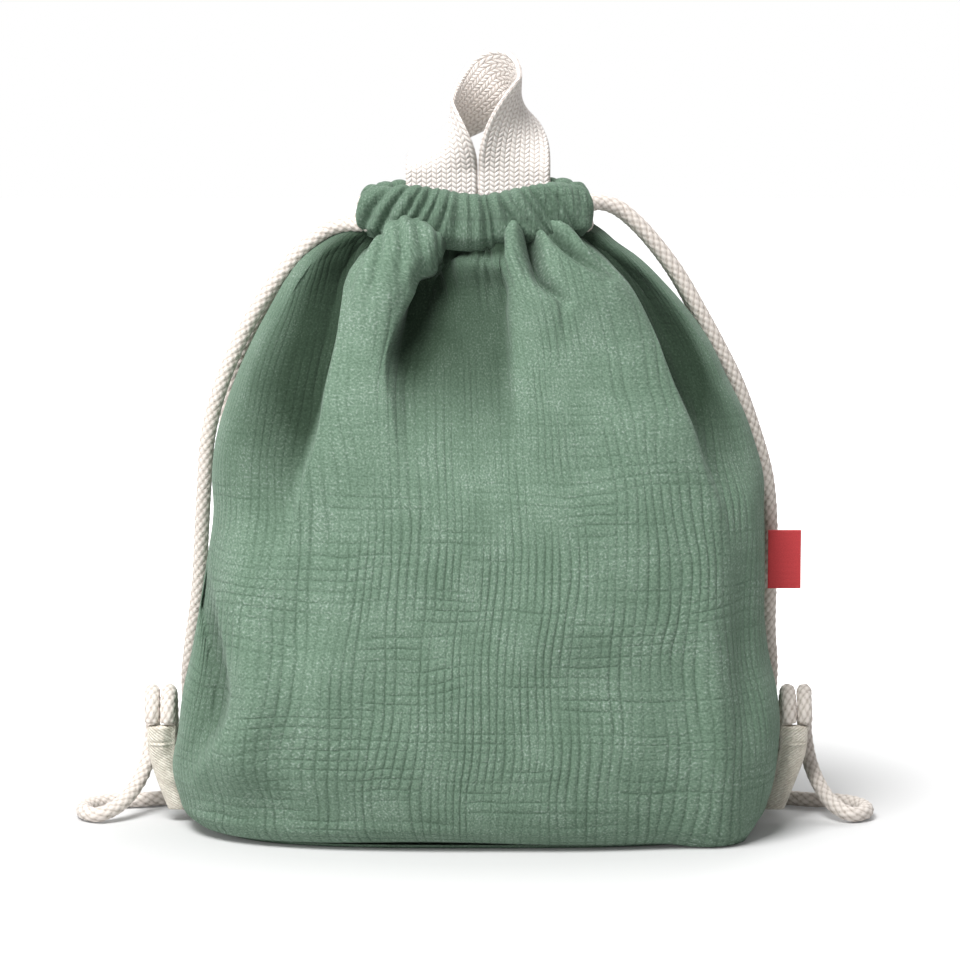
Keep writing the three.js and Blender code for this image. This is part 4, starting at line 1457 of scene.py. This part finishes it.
@dataclass
class Tabs:
    """Twill tabs folded round the cord ends, with a stitched hem at the top."""

    bottom: float = 5.0
    top: float = 40.0
    bottom_width: float = 10.0
    top_width: float = 11.5
    half_thickness: float = 2.5
    hem: float = 8.0
    hem_fold: float = 0.8
    stitch: float = 0.6
    wrinkle: float = 0.42
    wrinkle_seed: int = 41
    edge: float = 0.9
    rows: int = 90
    ring: int = 64
    left_seam: Pairs = ((5, -115.4), (15, -118.8), (30, -122.4), (40, -122.1))
    right_seam: Pairs = ((5, 116.3), (15, 119.8), (30, 124.2), (40, 124.4))

    def tab(self, side: Side) -> Piece:
        """One tab: a drop-shaped section, thin at the seam, carried up the tab, with the hem as a step.

        Args:
            side: side of the bag.

        Returns:
            The new object.
        """
        z = np.linspace(self.bottom, self.top, self.rows)[:, None]
        turn = once_round(self.ring)
        share = (z - self.bottom) / (self.top - self.bottom)
        width = self.bottom_width + (self.top_width - self.bottom_width) * share
        seam = side.value * curve(self.left_seam if side is Side.LEFT else self.right_seam, z)
        out = (1.0 - np.cos(turn)) / 2
        pocket = 0.25 + 0.75 * ease(0.0, 0.45, out)
        fold = self.top - self.hem
        step = self.hem_fold * ease(fold - 0.3, fold + 0.3, z)
        stitch = self.stitch * bell(z - (fold + 1.2), 0.5, 0.5)
        wrinkle = self.wrinkle * Noise(self.wrinkle_seed + side.value)(2.2 * out + 5.0, z / 4.5)
        half = (self.half_thickness + step - stitch + wrinkle * (1.0 - ease(30.0, 34.0, z))) * pocket
        close = round_off(to_ends(z), self.edge)
        x = side.value * (seam + width * (0.5 + (out - 0.5) * (0.9 + 0.1 * close)))
        y = half * signed_power(np.sin(turn), 0.75) * (0.35 + 0.65 * close)
        uv = grid(12.0 * turn / np.pi, twice_at_ends(z))
        return lay_tube(f"{side.name.lower()}_twill_tab", capped(grid(x, y, z)), uv)

    def build(self, finishes: Finishes) -> None:
        """Builds and dresses both tabs.

        Args:
            finishes: the bag's materials.
        """
        for side in Side:
            node = f"{side.name.lower()}_tab"
            piece = dress(self.tab(side), finishes.twill, "twill", node)
            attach(piece, node)


@dataclass
class Label:
    """Folded ribbon label in the right side seam."""

    seam: float = 118.7
    width: float = 13.4
    bottom: float = 96.6
    height: float = 24.0
    thickness: float = 1.0
    edge: float = 0.25
    edge_row: float = 0.05
    sway: float = 0.5
    rows: int = 60
    ring: int = 72

    def build(self, finishes: Finishes) -> Piece:
        """Two layers of ribbon, rounded at the fold and swayed a little.

        Args:
            finishes: the bag's materials.

        Returns:
            The new object.
        """
        turn = once_round(self.ring)
        rows = np.linspace(self.edge, self.height - self.edge, self.rows)
        z = np.concatenate([[0.0, self.edge_row], rows, [self.height - self.edge_row, self.height]])[:, None]
        out = (1.0 - signed_power(np.cos(turn), 0.35)) / 2
        half = self.thickness / 2 * signed_power(np.sin(turn), 0.3)
        edge = np.clip(to_ends(z) / self.edge, 0.0, 1.0) ** 0.5
        sway = self.sway * np.sin(out * 2.4) * np.sin(np.pi * z / self.height)
        points = grid(self.seam + self.width * out, half * (0.2 + 0.8 * edge) + sway, self.bottom + z)
        piece = lay_tube("red_side_label", capped(points), grid(out * self.width, twice_at_ends(z)))
        dress(piece, finishes.ribbon, "label", "side_label")
        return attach(piece, "side_label")


@dataclass(frozen=True)
class Turn:
    """Turn of the webbing: length since the last one, way along the webbing and way across it."""

    length: float
    along: Place
    across: Place

    def quaternion(self) -> Array:
        """Turn of the webbing's axes: along it, across it and out of its outer face.

        Returns:
            The turn as a quaternion.
        """
        way = Vector(self.along).normalized()
        out = way.cross(Vector(self.across)).normalized()
        return np.array(Matrix((way, out.cross(way), out)).transposed().to_quaternion())


@dataclass
class CarryLoop:
    """Webbing carry loop: one strip that rises from the rim, turns edge-on and closes in a band behind."""

    width: float = 29.0
    thickness: float = 2.0
    fold_line: float = 260.6
    depth: float = 10.64
    left_foot: float = -13.4
    right_foot: float = 15.8
    sewn: float = 16.6
    sewn_stations: int = 40
    edge: float = 0.9
    slow_turn: float = 1.5
    stations: int = 260
    columns: int = 36
    turns: tuple[Turn, ...] = (
        Turn(0, (0, 0, 1), (-1, 0, 0)),
        Turn(4, (0, 0, 1), (-1, 0, 0)),
        Turn(22.6, (0.88, 0.65, 0.76), (0, 0.76, -0.65)),
        Turn(24, (1, -0.06, 1), (-0.1, 0.16, -0.97)),
        Turn(15.5, (0, -0.42, -0.91), (0, 0.91, -0.42)),
        Turn(32.9, (0, 0, -1), (1, 0, 0)),
        Turn(4, (0, 0, -1), (1, 0, 0)),
    )

    def frames(self) -> tuple[Array, float]:
        """Axes at even steps, each turned evenly between its two neighbouring turns.

        Returns:
            Rotation matrices for each station, and the step between stations.
        """
        ends = np.cumsum([turn.length for turn in self.turns])
        quaternions = np.array([turn.quaternion() for turn in self.turns])
        for index in range(1, len(quaternions)):
            quaternions[index] *= np.sign(quaternions[index] @ quaternions[index - 1]) or 1.0
        at = np.linspace(0.0, ends[-1], self.stations)
        index = np.clip(np.searchsorted(ends, at), 1, len(ends) - 1)
        share = (at - ends[index - 1]) / (ends[index] - ends[index - 1])
        late, early = share**self.slow_turn, 1.0 - (1.0 - share) ** self.slow_turn
        share = np.select([index == 2, index == len(ends) - 2], [late, early], share)[:, None]
        first, second = quaternions[index - 1], quaternions[index]
        angle = np.arccos(np.clip(np.sum(first * second, axis=1, keepdims=True), -1.0, 1.0))
        safe = np.maximum(np.sin(angle), 1e-9)
        mixed = (np.sin((1 - share) * angle) * first + np.sin(share * angle) * second) / safe
        turned = np.where(angle < 1e-6, first, mixed)
        w, x, y, z = (turned / np.linalg.norm(turned, axis=1, keepdims=True)).T
        rows = [[1 - 2 * (y * y + z * z), 2 * (x * y - w * z), 2 * (x * z + w * y)],
                [2 * (x * y + w * z), 1 - 2 * (x * x + z * z), 2 * (y * z - w * x)],
                [2 * (x * z - w * y), 2 * (y * z + w * x), 1 - 2 * (x * x + y * y)]]
        return np.moveaxis(np.array(rows), 2, 0), at[1]

    def line(self, axes: Array, step: float) -> Array:
        """Middle line: steps along the webbing added up, closed evenly onto the second foot.

        Args:
            axes: rotation matrices of the stations.
            step: length of a step.

        Returns:
            The points of the line.
        """
        ways = (axes[:-1, :, 0] + axes[1:, :, 0]) / 2
        steps = ways / np.linalg.norm(ways, axis=1, keepdims=True) * step
        start = np.array([self.left_foot, self.depth, self.fold_line])
        line = start + np.concatenate([np.zeros((1, 3)), np.cumsum(steps, axis=0)])
        miss = np.array([self.right_foot, self.depth, self.fold_line]) - line[-1]
        return line + np.linspace(0.0, 1.0, self.stations)[:, None] * miss

    def build(self, finishes: Finishes) -> Piece:
        """The strip with both sewn ends: a flat rounded section carried along its line.

        Args:
            finishes: the bag's materials.

        Returns:
            The new object.
        """
        axes, step = self.frames()
        line = self.line(axes, step)
        drop = np.linspace(self.sewn, 0.0, self.sewn_stations, endpoint=False)[:, None] * [0.0, 0.0, -1.0]
        line = np.concatenate([line[:1] + drop, line, line[-1:] + drop[::-1]])
        first, last = (np.repeat(end, self.sewn_stations, axis=0) for end in (axes[:1], axes[-1:]))
        axes = np.concatenate([first, axes, last])[:, None]
        share = np.linspace(-0.5, 0.5, self.columns)
        edge = round_off(self.width * (0.5 - np.abs(share)), self.edge)
        across = np.concatenate([share, share[::-1]])[None, :, None] * self.width
        half = np.concatenate([edge, -edge[::-1]])[None, :, None] * self.thickness / 2
        points = line[:, None, :] + across * axes[..., 1] + half * axes[..., 2]
        uv = grid(across[..., 0], twice_at_ends(lengths(line))[:, None])
        piece = lay_tube("webbing_carry_loop", capped(points), uv)
        dress(piece, finishes.webbing, "webbing", "carry_loop", "carry_loop_left_end", "carry_loop_right_end")
        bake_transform(piece)
        return piece


@dataclass(frozen=True)
class Lamp:
    """Square soft light: its place, power and size."""

    name: str
    place: Place
    power: float
    size: float


@dataclass
class Studio:
    """Pale floor, soft light and a camera at the photograph's angle."""

    camera_place: Place = (0.002, -1.5, 0.35)
    camera_aim: Place = (0.002, 0.0, 0.1412)
    lens: float = 140.5
    sensor: float = 36.0
    lamp_aim: Place = (0.0, 0.0, 0.13)
    lamps: tuple[Lamp, ...] = (
        Lamp("key", (-0.55, -1.0, 1.8), power=58.0, size=0.9),
        Lamp("fill", (-1.7, -1.2, 0.8), power=12.0, size=1.0),
        Lamp("rear", (0.5, 1.5, 1.5), power=16.0, size=1.0),
    )
    floor_reach: float = 4.0
    floor_colour: Light = (0.6, 0.6, 0.6, 1.0)
    shadow_stretch: Place = (1.0, 1.7, 1.0)
    shadow_start: float = 0.125
    shadow_end: float = 0.6
    shadow_glow: float = 0.04
    sky_light: float = 0.26

    def put(self, name: str, data: bpy.types.ID, place: Place, aim: Place) -> Piece:
        """Puts up a camera or a lamp that looks at a point.

        Args:
            name: name of the object.
            data: its camera or light.
            place: where it stands.
            aim: point that it looks at.

        Returns:
            The new object.
        """
        thing = bpy.data.objects.new(name, data)
        thing.location = place
        thing.rotation_euler = (Vector(aim) - Vector(place)).to_track_quat("-Z", "Y").to_euler()
        bpy.context.scene.collection.objects.link(thing)
        return thing

    def camera(self) -> None:
        """Puts up the camera."""
        data = bpy.data.cameras.new("camera")
        data.lens, data.sensor_width = self.lens, self.sensor
        bpy.context.scene.camera = self.put("camera", data, self.camera_place, self.camera_aim)

    def floor(self) -> None:
        """White floor: it glows for camera and glossy rays so that it looks white, least near the bag, where
        the missing glow paints a darker patch and the real shadow stays.
        """
        span = np.array([-1.0, 0.0, 1.0]) * self.floor_reach / MM
        floor = lay_mesh("floor", grid(span[None, :], span[:, None], 0.0), grid_faces(3, 3))
        if floor.data.polygons[0].normal.z < 0:
            floor.data.flip_normals()
        r = Recipe("white_floor", roughness=0.9, sheen=0.0)
        r.surface.inputs["Base Color"].default_value = self.floor_colour
        r.surface.inputs["Specular IOR Level"].default_value = 0.0
        r.surface.inputs["Emission Color"].default_value = WHITE
        rays = r.node("ShaderNodeLightPath").outputs
        seen = r.math("MAXIMUM", rays["Is Camera Ray"], rays["Is Glossy Ray"])
        place = r.node("ShaderNodeTexCoord").outputs["Object"]
        place = r.vector("MULTIPLY", place, self.shadow_stretch).outputs[0]
        distance = r.vector("LENGTH", place).outputs["Value"]
        # Painted shadow: the glow fades towards the bag, so the floor round it shows darker.
        glow = r.span(distance, self.shadow_start, self.shadow_end, self.shadow_glow, 1.0)
        r.fill(r.surface.inputs["Emission Strength"], r.math("MULTIPLY", seen, glow))
        floor.data.materials.append(r.material)

    def world(self) -> None:
        """Even white sky, fainter as a light than it looks."""
        world = bpy.data.worlds.new("sky")
        bpy.context.scene.world = world
        world.use_nodes = True
        tree = world.node_tree
        sky = tree.nodes["Background"]
        sky.inputs["Color"].default_value = WHITE
        rays = tree.nodes.new("ShaderNodeLightPath")
        level = tree.nodes.new("ShaderNodeMapRange")
        level.inputs["To Min"].default_value = self.sky_light
        level.inputs["To Max"].default_value = 1.0
        tree.links.new(rays.outputs["Is Camera Ray"], level.inputs["Value"])
        tree.links.new(level.outputs[0], sky.inputs["Strength"])

    def build(self) -> None:
        """Sets the stage."""
        self.camera()
        self.floor()
        self.world()
        for lamp in self.lamps:
            data = bpy.data.lights.new(lamp.name, "AREA")
            data.energy, data.size = lamp.power, lamp.size
            self.put(lamp.name, data, lamp.place, self.lamp_aim)
        bpy.context.scene.view_settings.view_transform = "Standard"


def main() -> None:
    """Builds the bag piece by piece."""
    logging.basicConfig(level=logging.INFO, format="%(message)s")
    Studio().build()
    finishes = Finishes()
    Straps(Cord()).build(finishes)
    casing = Casing().build(finishes)
    body = Body().build(finishes)
    Tabs().build(finishes)
    Label().build(finishes)
    loop = CarryLoop().build(finishes)


if __name__ == "__main__":
    main()
